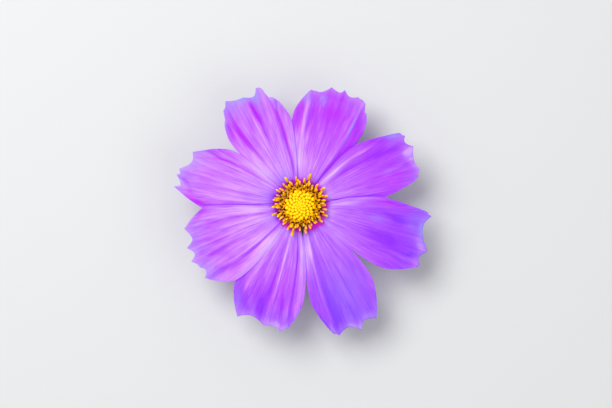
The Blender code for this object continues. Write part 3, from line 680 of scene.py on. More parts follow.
# The deep colours carry the petal's own deep streaks and also painted shade; the pale ramp carries its own
# pale streaks and also painted highlight.
PETAL_LAYERS = [  # what each mix is called, what steers it, and the two colours that it mixes
    ("body", "rosy", "middle", "pink"), ("fold", "rosy", "deep", "deep pink"),
    ("with deep tone and painted shade", "down", "body", "fold"), ("with pale tone and painted highlight", "up", "with deep tone and painted shade", "pale"),
    ("upper side", "cool", "with pale tone and painted highlight", "bluish"), ("whole", "below", "upper side", "lilac"),
]
print("petal ramps and their stops:", {name: len(stops) for name, stops in PETAL_RAMPS.items()})

# %% Make the petal material
def petal_material():
    """Petal tissue, grown: satin and a little velvety, so it has some sheen and a soft highlight."""
    material, tree = new_material("cosmos petal tissue", {
        "Roughness": 0.65, "IOR": 1.36, "Sheen Weight": 0.03, "Sheen Roughness": 0.5,
        "Subsurface Weight": 0.35, "Subsurface Radius": (1.0, 0.6, 1.2), "Subsurface Scale": 1.0 * MM,
    })
    fibres = add_node(tree, "ShaderNodeUVMap", uv_map="fibres").outputs["UV"]
    along = add_node(tree, "ShaderNodeSeparateXYZ", {0: fibres}).outputs["Y"]
    steer = {
        name: add_node(tree, "ShaderNodeAttribute", attribute_name=name).outputs["Fac"]
        for name in ("tone", "rosy", "cool", "underside")
    }
    noises, tones = {}, {}
    for name, (scale, detail, roughness, swing) in PETAL_PATTERNS.items():
        noises[name] = fibre_noise(tree, fibres, scale, detail, roughness)
        tones[name] = add_node(tree, "ShaderNodeMapRange", {
            0: noises[name], 1: NOISE_RANGE[0], 2: NOISE_RANGE[1], 3: -swing, 4: swing,
        }).outputs[0]

    # The veins fade towards the teeth. Everything else that changes the tone is added to them.
    fading = add_node(tree, "ShaderNodeMapRange", {0: along, **VEIN_FADING}).outputs[0]
    total = tones["veins"]
    for operation, value in (
        ("MULTIPLY", fading), ("ADD", tones["threads"]), ("ADD", tones["clouds"]), ("ADD", steer["tone"]),
    ):
        total = add_node(tree, "ShaderNodeMath", {0: total, 1: value}, operation=operation).outputs[0]
    # Below zero the total tone mixes in the deep colours and above zero the pale ones. Together with the
    # tone map, this lays painted shade in grooves and under neighbouring edges, and painted highlight on
    # ridges.
    for name, furthest in (("down", -1.0), ("up", 1.0)):
        steer[name] = add_node(tree, "ShaderNodeMapRange", {0: total, 2: furthest}).outputs[0]
    below = {0: steer["underside"], 1: UNDERSIDE_SHARE}
    steer["below"] = add_node(tree, "ShaderNodeMath", below, operation="MULTIPLY").outputs[0]

    colours = {name: linear(value) for name, value in PETAL_PLAIN.items()}
    for name, stops in PETAL_RAMPS.items():
        colours[name] = add_node(tree, "ShaderNodeValToRGB", {"Fac": along}, stops).outputs["Color"]
    for name, factor, first, second in PETAL_LAYERS:
        mix = add_node(tree, "ShaderNodeMix", {
            "Factor_Float": steer[factor], "A_Color": colours[first], "B_Color": colours[second],
        }, data_type="RGBA")
        colours[name] = find_socket(mix.outputs, "Result_Color")
    dress(tree, noises["veins"], 0.45, 0.25, colours["whole"])
    return material


PETAL_FINISH = petal_material()
print("petal material nodes:", len(PETAL_FINISH.node_tree.nodes))

# %% Make the eight petals
PETAL_ROWS = 84
PETAL_COLUMNS = 141
PETAL_THICKNESS = (0.34, 0.12)  # at the middle and at the edge
THIN_EDGE = 0.35  # share of the half width over which the blade thins
# Painted light from the folds and creases: the tone is paler where the blade rises and deeper where it
# sinks, as highlight on the ridges and shade in the grooves.
FOLD_PAINTED_LIGHT = (0.8, 0.35)  # tone for each mm of a fold's height, and the share along where it is full
CREASE_PAINTED_LIGHT = 2.0  # tone for each mm of a crease's height
PATTERN_STEP = 3  # how far apart the petals lie on the pattern, so that no two are alike


def petal_colours(petal, shares, places):
    """Maps over the blade: its tone, with painted light from the folds, and how rosy and how cool it is."""
    size = np.broadcast(shares, places).shape
    fibres = fibre_places(petal, shares, places)
    maps = {"tone": np.full(size, petal.paleness), "rosy": np.full(size, petal.pinkness)}
    maps["cool"] = np.zeros(size)
    amount, full = FOLD_PAINTED_LIGHT
    # Painted highlight on the ridges of the folds and creases, and painted shade in their grooves.
    for centre, tall, wide in petal.folds:
        maps["tone"] += amount * tall * bell((fibres - centre) / wide) * smooth_step(shares / full)
    for centre, tall, wide, start, end in petal.creases:
        crease = bell((fibres - centre) / wide) * window(shares, start, end)
        maps["tone"] += CREASE_PAINTED_LIGHT * tall * crease
    for kind in maps:
        for place, share, wide, long, slant, amount in getattr(petal, kind):
            centre = place + slant * (shares - share)
            maps[kind] += amount * bell((places - centre) / wide) * bell((shares - share) / long)
    return maps


def make_petal(petal):
    """One petal, with its fibres in its UV map and its colours in attributes."""
    shares = np.linspace(0, 1, PETAL_ROWS)[:, None]
    places = np.linspace(-1, 1, PETAL_COLUMNS)[None, :]
    middle = petal_surface(petal, shares, places)
    from_edge = np.minimum(1 - np.abs(places), 2 * (1 - shares))
    core, edge = PETAL_THICKNESS
    thickness = edge + (core - edge) * smooth_step(from_edge / THIN_EDGE)
    across = (fibre_places(petal, shares, places) + 1) / 2 + PATTERN_STEP * PETALS.index(petal)
    along = np.broadcast_to(shares, middle.shape[:2])
    obj = make_blade("violet_" + petal.name, middle, thickness, across, along, PETAL_FINISH)
    for kind, values in petal_colours(petal, shares, places).items():
        set_attribute(obj, kind, np.tile(values.ravel(), 2))
    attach(obj, "root")
    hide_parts(petal.name)
    return obj


for petal in PETALS:
    blade = make_petal(petal)
    print(blade.name, "faces:", len(blade.data.polygons))

# %% [markdown]
# ## Disc: one floret of each kind
# A floret is a tube with a five-lobed mouth, so each kind is a turned shape whose rings can be
# lobed. Only one of each is modelled here, small and plain, because it will be repeated many times.

# %% Make the unit florets
UNIT_RINGS = {  # number of sides, then rings as (radius, height, how deeply lobed), lowest first
    "bud": (10, [
        (0.38, -0.8, 0), (0.5, 0, 0), (0.57, 0.35, 0.03), (0.58, 0.62, 0.05), (0.48, 0.88, 0.1),
        (0.26, 1.02, 0.12),
    ]),
    "corolla": (20, [
        (0.24, -0.8, 0), (0.3, 0.6, 0), (0.36, 1.4, 0), (0.44, 1.8, 0.08), (0.58, 2.08, 0.3),
        (0.72, 2.24, 0.42), (0.62, 2.3, 0.4), (0.38, 2.08, 0.1), (0.28, 1.7, 0),
    ]),
    "anthers": (10, [(0.22, 1.4, 0), (0.28, 2.1, 0.1), (0.31, 2.8, 0.1), (0.26, 3.3, 0.1), (0.14, 3.4, 0)]),
    "pollen": (10, [
        (0.16, 3.0, 0), (0.29, 3.25, 0.1), (0.36, 3.8, 0.15), (0.36, 4.4, 0.15), (0.26, 4.8, 0.1),
        (0.1, 5.0, 0),
    ]),
}
LOBES = 5


def lobed_solid(name, sides, rings):
    """A closed turned solid on the Z axis, in mm, with lobed rings."""
    angles = np.arange(sides) * 2 * math.pi / sides
    points = [(0.0, 0.0, rings[0][1])]
    for radius, height, depth in rings:
        radii = radius * (1 + depth * np.cos(LOBES * angles))
        points += [(r * math.cos(a), r * math.sin(a), height) for r, a in zip(radii, angles)]
    points.append((0.0, 0.0, rings[-1][1]))
    top = len(points) - 1
    faces = []
    for k in range(sides):
        beside = (k + 1) % sides
        faces.append((0, 1 + beside, 1 + k))
        faces.append((top, top - sides + k, top - sides + beside))
        for ring in range(len(rings) - 1):
            a = 1 + ring * sides
            faces.append((a + k, a + beside, a + sides + beside, a + sides + k))
    obj = make_object(name, points, faces)
    heights = np.array([p[2] for p in points])
    set_attribute(obj, "rise", (heights - heights.min()) / np.ptp(heights))
    return obj


UNITS = {name: lobed_solid(name, sides, rings) for name, (sides, rings) in UNIT_RINGS.items()}
print("unit florets:", {name: len(unit.data.polygons) for name, unit in UNITS.items()})

# %% [markdown]
# ## Disc: the spiral
# Florets grow in a spiral: each stands a golden angle, 137.5 degrees, round from the last, and
# further out. Geometry Nodes follow that rule exactly. One tree makes a point for each floret, puts
# it on the dome, leans it outwards and sets the unit floret on it, and its named inputs say how
# many, how far out and how far they lean. The rule is written below as a list of short sums, and
# each becomes one Math node. The outermost florets have been pushed about by wind and insects, so
# a second tree reads where each one stands from a mesh of marked points.

# %% Helpers for the trees
FLORET_CHANCES = {"spin": (0.0, 2 * math.pi, 2), "shade": (0.0, 1.0, 5)}


def new_tree(name, inputs, chances):
    """A Geometry Nodes tree, and its named inputs and chances.

    A chance is a random value for each floret, from (low, high, what is added to the seed)."""
    tree = bpy.data.node_groups.new(name, "GeometryNodeTree")
    for kind, input_names in inputs.items():
        for input_name in input_names:
            tree.interface.new_socket(input_name, in_out="INPUT", socket_type="NodeSocket" + kind)
    tree.interface.new_socket("Geometry", in_out="OUTPUT", socket_type="NodeSocketGeometry")
    known = {socket.name: socket for socket in add_node(tree, "NodeGroupInput").outputs}
    for name, (low, high, offset) in chances.items():
        seed = add_node(tree, "ShaderNodeMath", {0: known["Seed"], 1: float(offset)}, operation="ADD")
        draw = add_node(tree, "FunctionNodeRandomValue", {
            "Min_001": low, "Max_001": high, "Seed": seed.outputs[0],
        })
        known[name] = find_socket(draw.outputs, "Value_001")
    return tree, known


def plant(tree, known, points):
    """Sets the unit on every point, leans it outwards, spins it, and makes one plain mesh of all."""
    angles = add_node(tree, "ShaderNodeCombineXYZ", {1: known["lean"], 2: known["azimuth"]})
    leant = add_node(tree, "FunctionNodeEulerToRotation", {0: angles.outputs[0]})
    spin = add_node(tree, "ShaderNodeCombineXYZ", {2: known["spin"]})
    spun = add_node(tree, "FunctionNodeEulerToRotation", {0: spin.outputs[0]})
    turned = add_node(tree, "FunctionNodeRotateRotation", {
        0: leant.outputs[0], 1: spun.outputs[0],
    }, rotation_space="LOCAL")
    unit = add_node(tree, "GeometryNodeObjectInfo", {"Object": known["Unit"], "As Instance": True})
    placed = add_node(tree, "GeometryNodeInstanceOnPoints", {
        "Points": points, "Instance": unit.outputs["Geometry"],
        "Rotation": turned.outputs[0], "Scale": known["size"],
    })
    marked = add_node(tree, "GeometryNodeStoreNamedAttribute", {
        "Geometry": placed.outputs[0], "Name": "shade", "Value": known["shade"],
    }, domain="INSTANCE", data_type="FLOAT")
    real = add_node(tree, "GeometryNodeRealizeInstances", {0: marked.outputs[0]})
    finished = add_node(tree, "GeometryNodeSetMaterial", {
        "Geometry": real.outputs[0], "Material": known["Finish"],
    })
    add_node(tree, "NodeGroupOutput", {0: finished.outputs[0]})


# %% Build the spiral's tree
SPIRAL_INPUTS = {
    "Object": ["Unit"], "Material": ["Finish"], "Vector": ["Centre"],
    "Int": ["Seed", "Count", "First Number"],
    "Float": [
        "Inner Reach", "Outer Reach", "Crowding", "Inner Lean", "Outer Lean", "Lean Play",
        "Inner Size", "Outer Size", "Size Play", "Turn Play", "Dome Radius", "Dome Height",
    ],
}
PLAY_CHANCES = {
    "lean chance": (-1.0, 1.0, 1), "turn chance": (-1.0, 1.0, 3), "size chance": (-1.0, 1.0, 4),
}
SPIRAL_SUMS = [  # what each sum is called, its operation, and its terms: earlier values or numbers
    ("order", "ADD", "index", 0.5),
    ("even share", "DIVIDE", "order", "Count"),
    ("share", "POWER", "even share", "Crowding"),
    ("inner square", "POWER", "Inner Reach", 2.0),
    ("outer square", "POWER", "Outer Reach", 2.0),
    ("whole ring", "SUBTRACT", "outer square", "inner square"),
    ("part of ring", "MULTIPLY", "whole ring", "share"),
    ("square", "ADD", "inner square", "part of ring"),
    ("reach", "SQRT", "square"),
    ("number", "ADD", "index", "First Number"),
    ("steady turn", "MULTIPLY", "number", GOLDEN_ANGLE),
    ("turn play", "MULTIPLY", "Turn Play", "turn chance"),
    ("azimuth", "ADD", "steady turn", "turn play"),
    ("cosine", "COSINE", "azimuth"),
    ("sine", "SINE", "azimuth"),
    ("x", "MULTIPLY", "reach", "cosine"),
    ("y", "MULTIPLY", "reach", "sine"),
    ("radius share", "DIVIDE", "reach", "Dome Radius"),
    ("radius square", "POWER", "radius share", 2.0),
    ("inside", "SUBTRACT", 1.0, "radius square"),
    ("not below rim", "MAXIMUM", "inside", 0.0),
    ("dome curve", "SQRT", "not below rim"),
    ("height", "MULTIPLY", "Dome Height", "dome curve"),
    ("out share", "DIVIDE", "reach", "Outer Reach"),
    ("more lean", "SUBTRACT", "Outer Lean", "Inner Lean"),
    ("lean part", "MULTIPLY", "more lean", "out share"),
    ("even lean", "ADD", "Inner Lean", "lean part"),
    ("lean play", "MULTIPLY", "Lean Play", "lean chance"),
    ("lean", "ADD", "even lean", "lean play"),
    ("more size", "SUBTRACT", "Outer Size", "Inner Size"),
    ("size part", "MULTIPLY", "more size", "out share"),
    ("even size", "ADD", "Inner Size", "size part"),
    ("size play", "MULTIPLY", "Size Play", "size chance"),
    ("size change", "ADD", 1.0, "size play"),
    ("size", "MULTIPLY", "even size", "size change"),
]


def spiral_tree():
    """Florets on the dome, each a golden angle round from the last."""
    tree, known = new_tree("florets in a spiral", SPIRAL_INPUTS, {**FLORET_CHANCES, **PLAY_CHANCES})
    known["index"] = add_node(tree, "GeometryNodeInputIndex").outputs[0]
    for name, operation, *terms in SPIRAL_SUMS:
        values = {number: known.get(term, term) for number, term in enumerate(terms)}
        known[name] = add_node(tree, "ShaderNodeMath", values, operation=operation).outputs[0]
    spot = add_node(tree, "ShaderNodeCombineXYZ", {0: known["x"], 1: known["y"], 2: known["height"]})
    place = add_node(
        tree, "ShaderNodeVectorMath", {0: known["Centre"], 1: spot.outputs[0]}, operation="ADD"
    )
    points = add_node(tree, "GeometryNodePoints", {"Count": known["Count"], "Position": place.outputs[0]})
    plant(tree, known, points.outputs[0])
    return tree


SPIRAL = spiral_tree()
print("nodes in the spiral's tree:", len(SPIRAL.nodes))

# %% Build the marked points' tree
MARKED_INPUTS = {"Geometry": ["Points"], "Object": ["Unit"], "Material": ["Finish"], "Int": ["Seed"]}


def marked_points_tree():
    """Florets on a mesh's points, each as its point's attributes say."""
    tree, known = new_tree("florets on marked points", MARKED_INPUTS, FLORET_CHANCES)
    for name in ("azimuth", "lean", "size"):
        mark = add_node(tree, "GeometryNodeInputNamedAttribute", {"Name": name}, data_type="FLOAT")
        known[name] = find_socket(mark.outputs, "Attribute")
    plant(tree, known, known["Points"])
    return tree


MARKED_POINTS = marked_points_tree()
print("nodes in the marked points' tree:", len(MARKED_POINTS.nodes))

# %% [markdown]
# ## Disc: the finishes
# Closed buds are a clean warm yellow, with painted shade making them deeper towards their feet, in the gaps
# between them. The open corollas are more orange, and they too darken towards their feet as painted shade.
# The anther tubes are nearly black-brown and slightly waxy, and the pollen on the tips is a dry, matt,
# bright yellow. The skin of the dome that they all grow from is golden at its top, and its brown edge,
# where it shows between the open florets, is painted shade in those deep gaps.

# %% Make the floret materials
FLORET_GRAIN = 1 / 3.5  # mm between the surface cells, which are drawn coarser than life to show


def floret_material(name, foot, middle, top, roughness, vary):
    """Floret tissue: matt and waxy, coloured from its foot to its top, each one a little different."""
    material, tree = new_material(name, {
        "Roughness": roughness, "IOR": 1.42, "Specular IOR Level": 0.25,
    })
    rise = add_node(tree, "ShaderNodeAttribute", attribute_name="rise").outputs["Fac"]
    shade = add_node(tree, "ShaderNodeAttribute", attribute_name="shade").outputs["Fac"]
    place = add_node(tree, "ShaderNodeTexCoord").outputs["Object"]
    grain = add_node(tree, "ShaderNodeTexNoise", {
        "Vector": place, "Scale": 1 / (FLORET_GRAIN * MM), "Detail": 2.0,
    })
    # The foot colour is darker than the rest partly as painted shade, for the gaps low between the florets.
    stops = [(0.3, foot), (0.7, middle), (1.0, top)]
    colour = add_node(tree, "ShaderNodeValToRGB", {"Fac": rise}, stops)
    change = add_node(tree, "ShaderNodeMapRange", {0: shade, 3: 1.0 - vary, 4: 1.0 + vary})
    toned = add_node(tree, "ShaderNodeHueSaturation", {
        "Color": colour.outputs["Color"], "Value": change.outputs[0],
    })
    dress(tree, grain.outputs[0], 0.5, 0.06, toned.outputs[0])
    return material


# Painted shade: the dark foot colours of the buds, the corollas and the receptacle skin stand for the shade
# deep in the gaps between the florets. The anther tubes are black-brown of themselves.
BUD_FINISH = floret_material("closed floret tissue", "#A86400", "#F8B800", "#FFDE00", 0.55, 0.07)
COROLLA_FINISH = floret_material("open floret tissue", "#8A4200", "#F09000", "#FFBC00", 0.55, 0.20)
ANTHER_FINISH = floret_material("anther tube tissue", "#180602", "#2A1002", "#7A3C06", 0.40, 0.30)
DOME_FINISH = floret_material("receptacle skin", "#561E00", "#B06C00", "#E8B000", 0.60, 0.0)
POLLEN_FINISH = floret_material("pollen", "#F89C00", "#FFBA00", "#FFD400", 0.85, 0.14)
FLORET_FINISHES = (BUD_FINISH, COROLLA_FINISH, ANTHER_FINISH, DOME_FINISH, POLLEN_FINISH)
print("floret finishes:", [finish.name for finish in FLORET_FINISHES])

# %% [markdown]
# ## Disc: setting the florets
# Three zones follow the spiral: closed buds on the top of the dome, and two rings of open florets that lean
# further and further outwards. An open floret is three pieces from the same zone, its corolla, its anther
# tube and its pollen, so the same seed sets them in line. Each result is turned into a plain mesh and hung
# under the root body.

# %% Set the florets on the dome
DOME_RADIUS = 4.7
DOME_HEIGHT = 2.2
DOME_SKIN = 0.4  # how far the dome stands up between the florets
DOME_FOOT = RAY_HEIGHT + 1.6
CENTRE = Vector((DISC_AXIS[0] * MM, DISC_AXIS[1] * MM, DOME_FOOT * MM))
OPEN_PIECES = {
    "corollas": ("corolla", COROLLA_FINISH), "anthers": ("anthers", ANTHER_FINISH),
    "pollen": ("pollen", POLLEN_FINISH),
}
BUD_ZONE = {
    "Count": 76, "First Number": 0, "Inner Reach": 0.0, "Outer Reach": 4.3 * MM, "Crowding": 1.3,
    "Inner Lean": 0.0, "Outer Lean": math.radians(34), "Lean Play": math.radians(4), "Turn Play": 0.03,
    "Inner Size": 0.62, "Outer Size": 1.14, "Size Play": 0.08, "Seed": 11,
}
OPEN_ZONES = {
    "inner": {
        "Count": 34, "First Number": 86, "Inner Reach": 3.9 * MM, "Outer Reach": 4.25 * MM,
        "Crowding": 1.0, "Inner Lean": math.radians(20), "Outer Lean": math.radians(38),
        "Lean Play": math.radians(10), "Turn Play": 0.16, "Inner Size": 0.76, "Outer Size": 0.82,
        "Size Play": 0.14, "Seed": 23,
    },
    "outer": {
        "Count": 46, "First Number": 120, "Inner Reach": 4.2 * MM, "Outer Reach": 4.5 * MM,
        "Crowding": 1.0, "Inner Lean": math.radians(38), "Outer Lean": math.radians(54),
        "Lean Play": math.radians(9), "Turn Play": 0.20, "Inner Size": 0.72, "Outer Size": 0.78,
        "Size Play": 0.14, "Seed": 31,
    },
}


def grow(name, tree, mesh, unit, finish, **values):
    """One plain mesh of florets, from a tree with these named inputs and, if it reads them, points."""
    host = bpy.data.objects.new(name + "_host", mesh)
    bpy.context.scene.collection.objects.link(host)
    modifier = host.modifiers.new("florets", "NODES")
    modifier.node_group = tree
    values.update({"Unit": UNITS[unit], "Finish": finish})
    for item in tree.interface.items_tree:
        if item.in_out == "INPUT" and item.name in values:
            modifier[item.identifier] = values[item.name]
    bpy.context.view_layer.update()
    grown = bpy.data.meshes.new_from_object(host.evaluated_get(bpy.context.evaluated_depsgraph_get()))
    grown.materials.pop(index=0)  # Realize Instances puts an empty slot before the finish
    host.modifiers.remove(modifier)
    bpy.data.objects.remove(host)
    grown.shade_smooth()
    obj = bpy.data.objects.new(name, grown)
    bpy.context.scene.collection.objects.link(obj)
    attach(obj, "root")
    print(name, "faces:", len(grown.polygons), "width, mm:", round(obj.dimensions.x / MM, 1))
    return obj


def grow_spiral(name, unit, finish, zone):
    """One plain mesh of a zone's florets on the dome."""
    dome = {"Centre": CENTRE, "Dome Radius": DOME_RADIUS * MM, "Dome Height": DOME_HEIGHT * MM}
    return grow(name, SPIRAL, bpy.data.meshes.new(name + "_empty"), unit, finish, **dome, **zone)


buds = grow_spiral("disc_buds", "bud", BUD_FINISH, BUD_ZONE)
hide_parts("disc_florets")
for zone_name, zone in OPEN_ZONES.items():
    for piece, (unit, finish) in OPEN_PIECES.items():
        grow_spiral(zone_name + "_" + piece, unit, finish, zone)

# %% [markdown]
# ## Disc: the outermost florets
# The florets at the rim stick out one by one over the petals, and they give the disc its uneven
# outline. Each is listed by where its tip ends. Its lean follows from that, and where the greatest
# lean isn't enough, it is a little larger.

# %% Set the outermost florets on marked points
RIM_TIPS = [  # azimuth in degrees, and how far from the axis the tip ends in mm
    (0, 7.7), (19, 8.8), (35, 9.3), (49, 8.4), (71, 9.9), (98, 8.6), (118, 9.5), (147, 8.5), (169, 8.3),
    (184, 8.5), (200, 9.0), (243, 8.5), (255, 9.7), (282, 8.8), (323, 8.5), (338, 9.0), (350, 8.2),
]
RIM_FOOT = (4.4, 0.5)  # of each floret: from the axis, and above the dome's foot
FLORET_LENGTH = 5.0
LEAST_SIZE = 0.86
RIM_SLOPE = 0.94  # sine of the greatest lean


def rim_points():
    """A mesh of points on the dome's rim, each marked with its floret's azimuth, lean and size."""
    degrees, tips = np.array(RIM_TIPS, float).T
    azimuths = np.radians(degrees)
    spans = tips - RIM_FOOT[0]
    sizes = np.clip(spans / (FLORET_LENGTH * RIM_SLOPE), LEAST_SIZE, None)
    leans = np.arcsin(np.clip(spans / (FLORET_LENGTH * sizes), 0, RIM_SLOPE))
    feet = [(RIM_FOOT[0] * math.cos(a), RIM_FOOT[0] * math.sin(a), RIM_FOOT[1]) for a in azimuths]
    mesh = bpy.data.meshes.new("rim_points")
    mesh.from_pydata([tuple(CENTRE + Vector(foot) * MM) for foot in feet], [], [])
    for name, values in (("azimuth", azimuths), ("lean", leans), ("size", sizes)):
        mesh.attributes.new(name, "FLOAT", "POINT").data.foreach_set("value", values.astype(np.float32))
    return mesh


for piece, (unit, finish) in OPEN_PIECES.items():
    grow("rim_" + piece, MARKED_POINTS, rim_points(), unit, finish, Seed=37)
for unit in UNITS.values():
    bpy.data.objects.remove(unit)

# %% [markdown]
# ## Dome
# Between the florets a little of the receptacle's dome shows. It is a plain turned shape with a skin of its
# own. Its rise value runs from its edge to its top: the brown at its edge is painted shade, so the gaps
# between the open florets look deep, and those between the buds warm and golden.

# %% Make the dome
DOME_SIDES = 64
DOME_NECK = [(2.7, -3.4), (2.7, 0.3), (3.7, 1.2)]  # radius, and height over the petals' feet
DOME_BRIM = (4.4, -0.4)  # radius, and height over the dome's foot
DOME_ANGLES = (0, 18, 36, 54, 72, 84)  # degrees above the dome's foot


def turned(outline, sides):
    """Points and faces of a turned solid from (radius, height) pairs, lowest first."""
    angles = np.arange(sides) * 2 * math.pi / sides
    points = [(r * math.cos(a), r * math.sin(a), height) for r, height in outline for a in angles]
    return np.array(points), tube_faces(len(outline), sides)


def tube_faces(rings, sides):
    """Faces of a tube through these rings of points, closed at both ends."""
    last = (rings - 1) * sides
    faces = [tuple(range(sides))[::-1], tuple(range(last, last + sides))]
    for ring in range(rings - 1):
        for k in range(sides):
            a, b = ring * sides + k, ring * sides + (k + 1) % sides
            faces.append((a, b, b + sides, a + sides))
    return faces


def on_axis(points):
    """Moves points from the Z axis to the disc's axis."""
    return np.array(points) + (*DISC_AXIS, 0.0)


outline = [(radius, RAY_HEIGHT + height) for radius, height in DOME_NECK]
outline.append((DOME_BRIM[0], DOME_FOOT + DOME_BRIM[1]))
for angle in np.radians(DOME_ANGLES):
    height = (DOME_HEIGHT + DOME_SKIN) * math.sin(angle)
    outline.append((DOME_RADIUS * math.cos(angle), DOME_FOOT + height))
points, faces = turned(outline, DOME_SIDES)
dome = make_object("receptacle_dome", on_axis(points), faces, DOME_FINISH)
set_attribute(dome, "rise", 1 - (np.hypot(points[:, 0], points[:, 1]) / DOME_RADIUS) ** 2)
set_attribute(dome, "shade", np.full(len(points), 0.5))
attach(dome, "root")
print("dome faces:", len(dome.data.polygons))

# %% [markdown]
# ## Bracts: the finishes
# The outer bracts are small waxy green leaves with paler margins and reddish tips. The inner ones
# are thin membranes, olive at the foot and brown towards their points, with straw-coloured
# margins. Both are streaked lengthwise, so they share one recipe with other colours.

# %% Make the bracts' finishes
BRACT_STREAKS = (16.0, 1.2)  # how often they change across and along a bract
STREAK_VALUES = (0.72, 1.25)  # how dark and how bright they get


def leaf_material(name, stops, edge_colour, roughness, translucent):
    """Bract tissue: smooth waxy leaf, streaked lengthwise, with its margin in another colour."""
    material, tree = new_material(name, {
        "Roughness": roughness, "Subsurface Weight": translucent,
        "Subsurface Radius": (0.0006, 0.0008, 0.0003),
    })
    fibres = add_node(tree, "ShaderNodeUVMap", uv_map="fibres").outputs["UV"]
    along = add_node(tree, "ShaderNodeSeparateXYZ", {0: fibres}).outputs["Y"]
    edge = add_node(tree, "ShaderNodeAttribute", attribute_name="edge").outputs["Fac"]
    streaks = fibre_noise(tree, fibres, BRACT_STREAKS, 4.0)
    colour = add_node(tree, "ShaderNodeValToRGB", {"Fac": along}, stops).outputs["Color"]
    streak = add_node(tree, "ShaderNodeMapRange", {
        0: streaks, 1: NOISE_RANGE[0], 2: NOISE_RANGE[1], 3: STREAK_VALUES[0], 4: STREAK_VALUES[1],
    })
    streaked = add_node(tree, "ShaderNodeHueSaturation", {"Color": colour, "Value": streak.outputs[0]})
    bordered = add_node(tree, "ShaderNodeMix", {
        "Factor_Float": edge, "A_Color": streaked.outputs[0], "B_Color": linear(edge_colour),
    }, data_type="RGBA")
    dress(tree, streaks, 0.4, 0.15, find_socket(bordered.outputs, "Result_Color"))
    return material


OUTER_FINISH = leaf_material(
    "outer bract leaf",
    [(0.0, "#6F8A45"), (0.25, "#4D6B33"), (0.75, "#43602F"), (0.92, "#5A4E34"), (1.0, "#6B3A35")],
    "#7E9457", 0.50, 0.0,
)
INNER_FINISH = leaf_material(
    "inner bract membrane",
    [(0.0, "#7A8A48"), (0.35, "#A39A52"), (0.75, "#8A6B3E"), (1.0, "#6A3A40")],
    "#C9BE86", 0.45, 0.1,
)
print("bract finishes:", OUTER_FINISH.name, "and", INNER_FINISH.name)

# %% [markdown]
# ## Bracts: the shapes
# Under the bloom are two rings of bracts. The outer eight are narrow and green. They leave a collar
# nearly level and arch down, and the bloom rests on three of their tips. The inner eight are broad
# and thin, and they stand as a cup round the florets. Both are blades along a smooth curve, made
# with the same closed-blade function as the petals.

# %% Shape an outer bract
BRACT_COUNT = 8
OUTER_BRACT_AZIMUTH = 3.5
OUTER_BRACT_TIPS = [0.0, 3.0, 1.4, 0.0, 2.6, 1.2, 0.0, 3.2]  # heights of the tips, in turn
OUTER_BRACT_SPINE = [(3.0, 8.2), (7.4, 9.6), (11.4, 6.4), (12.4, 0.1)]  # from the axis, and height
TIP_SHIFTS = [(0, 0), (0, 0), (0.3, 0.5), (0.35, 1)]  # of the spine, for each mm of the tip's height
OUTER_BRACT_HALF_WIDTHS = [(0, 1.15), (0.2, 1.75), (0.4, 1.6), (0.62, 0.75), (0.85, 0.42), (1, 0.12)]
OUTER_BRACT_THICKNESS = (0.5, 0.2)  # at the middle and at the edge
OUTER_ROWS, OUTER_COLUMNS = 40, 15
CHANNEL_DEPTH = 0.35  # share of the half width
MIDRIB_DEPTH = 0.14
MIDRIB_WIDTH = 0.14  # share of the half width
MARGIN_START = 0.82  # share of the half width where the paler margin begins
OUTER_MARGIN_SHARE = 0.7  # how much of the margin's colour shows
SMOOTHING = 7  # rows over which the widths are evened out


def bezier(corners, shares):
    """Points of the cubic curve with these four corners, at these shares."""
    corners = np.array(corners, float)
    t = np.asarray(shares, float)[..., None]
    return (
        (1 - t) ** 3 * corners[0] + 3 * t * (1 - t) ** 2 * corners[1]
        + 3 * t**2 * (1 - t) * corners[2] + t**3 * corners[3]
    )


def make_outer_bract(number, tip):
    """One green bract, arching from the collar down to its tip."""
    shares = np.linspace(0, 1, OUTER_ROWS)
    curve = bezier(np.array(OUTER_BRACT_SPINE) + np.array(TIP_SHIFTS) * tip, shares)
    widths = np.interp(shares, *zip(*OUTER_BRACT_HALF_WIDTHS))
    padded = np.pad(widths, SMOOTHING // 2, mode="edge")
    widths = np.convolve(padded, np.ones(SMOOTHING) / SMOOTHING, mode="valid")
    places = np.linspace(-1, 1, OUTER_COLUMNS)
    across = places[None, :] * widths[:, None]
    channel = CHANNEL_DEPTH * widths * np.sin(math.pi * shares)
    midrib = MIDRIB_DEPTH * bell(places / MIDRIB_WIDTH)[None, :] * np.sin(math.pi * shares)[:, None]
    height = curve[:, 1:2] + channel[:, None] * places[None, :] ** 2 - midrib
    turn = math.radians(OUTER_BRACT_AZIMUTH + number * 360 / BRACT_COUNT)
    reach = np.broadcast_to(curve[:, 0:1], across.shape)
    x = reach * math.cos(turn) - across * math.sin(turn)
    y = reach * math.sin(turn) + across * math.cos(turn)
    middle = on_axis(np.stack([x, y, height], axis=2))
    edge = np.broadcast_to(np.abs(places)[None, :], across.shape)
    core, rim = OUTER_BRACT_THICKNESS
    thickness = core - (core - rim) * edge**2
    along = np.broadcast_to(shares[:, None], across.shape)
    uv_across = np.broadcast_to(places[None, :] / 2 + number, across.shape)
    bract = make_blade(f"outer_bract_{number + 1}", middle, thickness, uv_across, along, OUTER_FINISH)
    margin = smooth_step((edge - MARGIN_START) / (1 - MARGIN_START))
    set_attribute(bract, "edge", np.tile(margin.ravel(), 2) * OUTER_MARGIN_SHARE)
    return bract


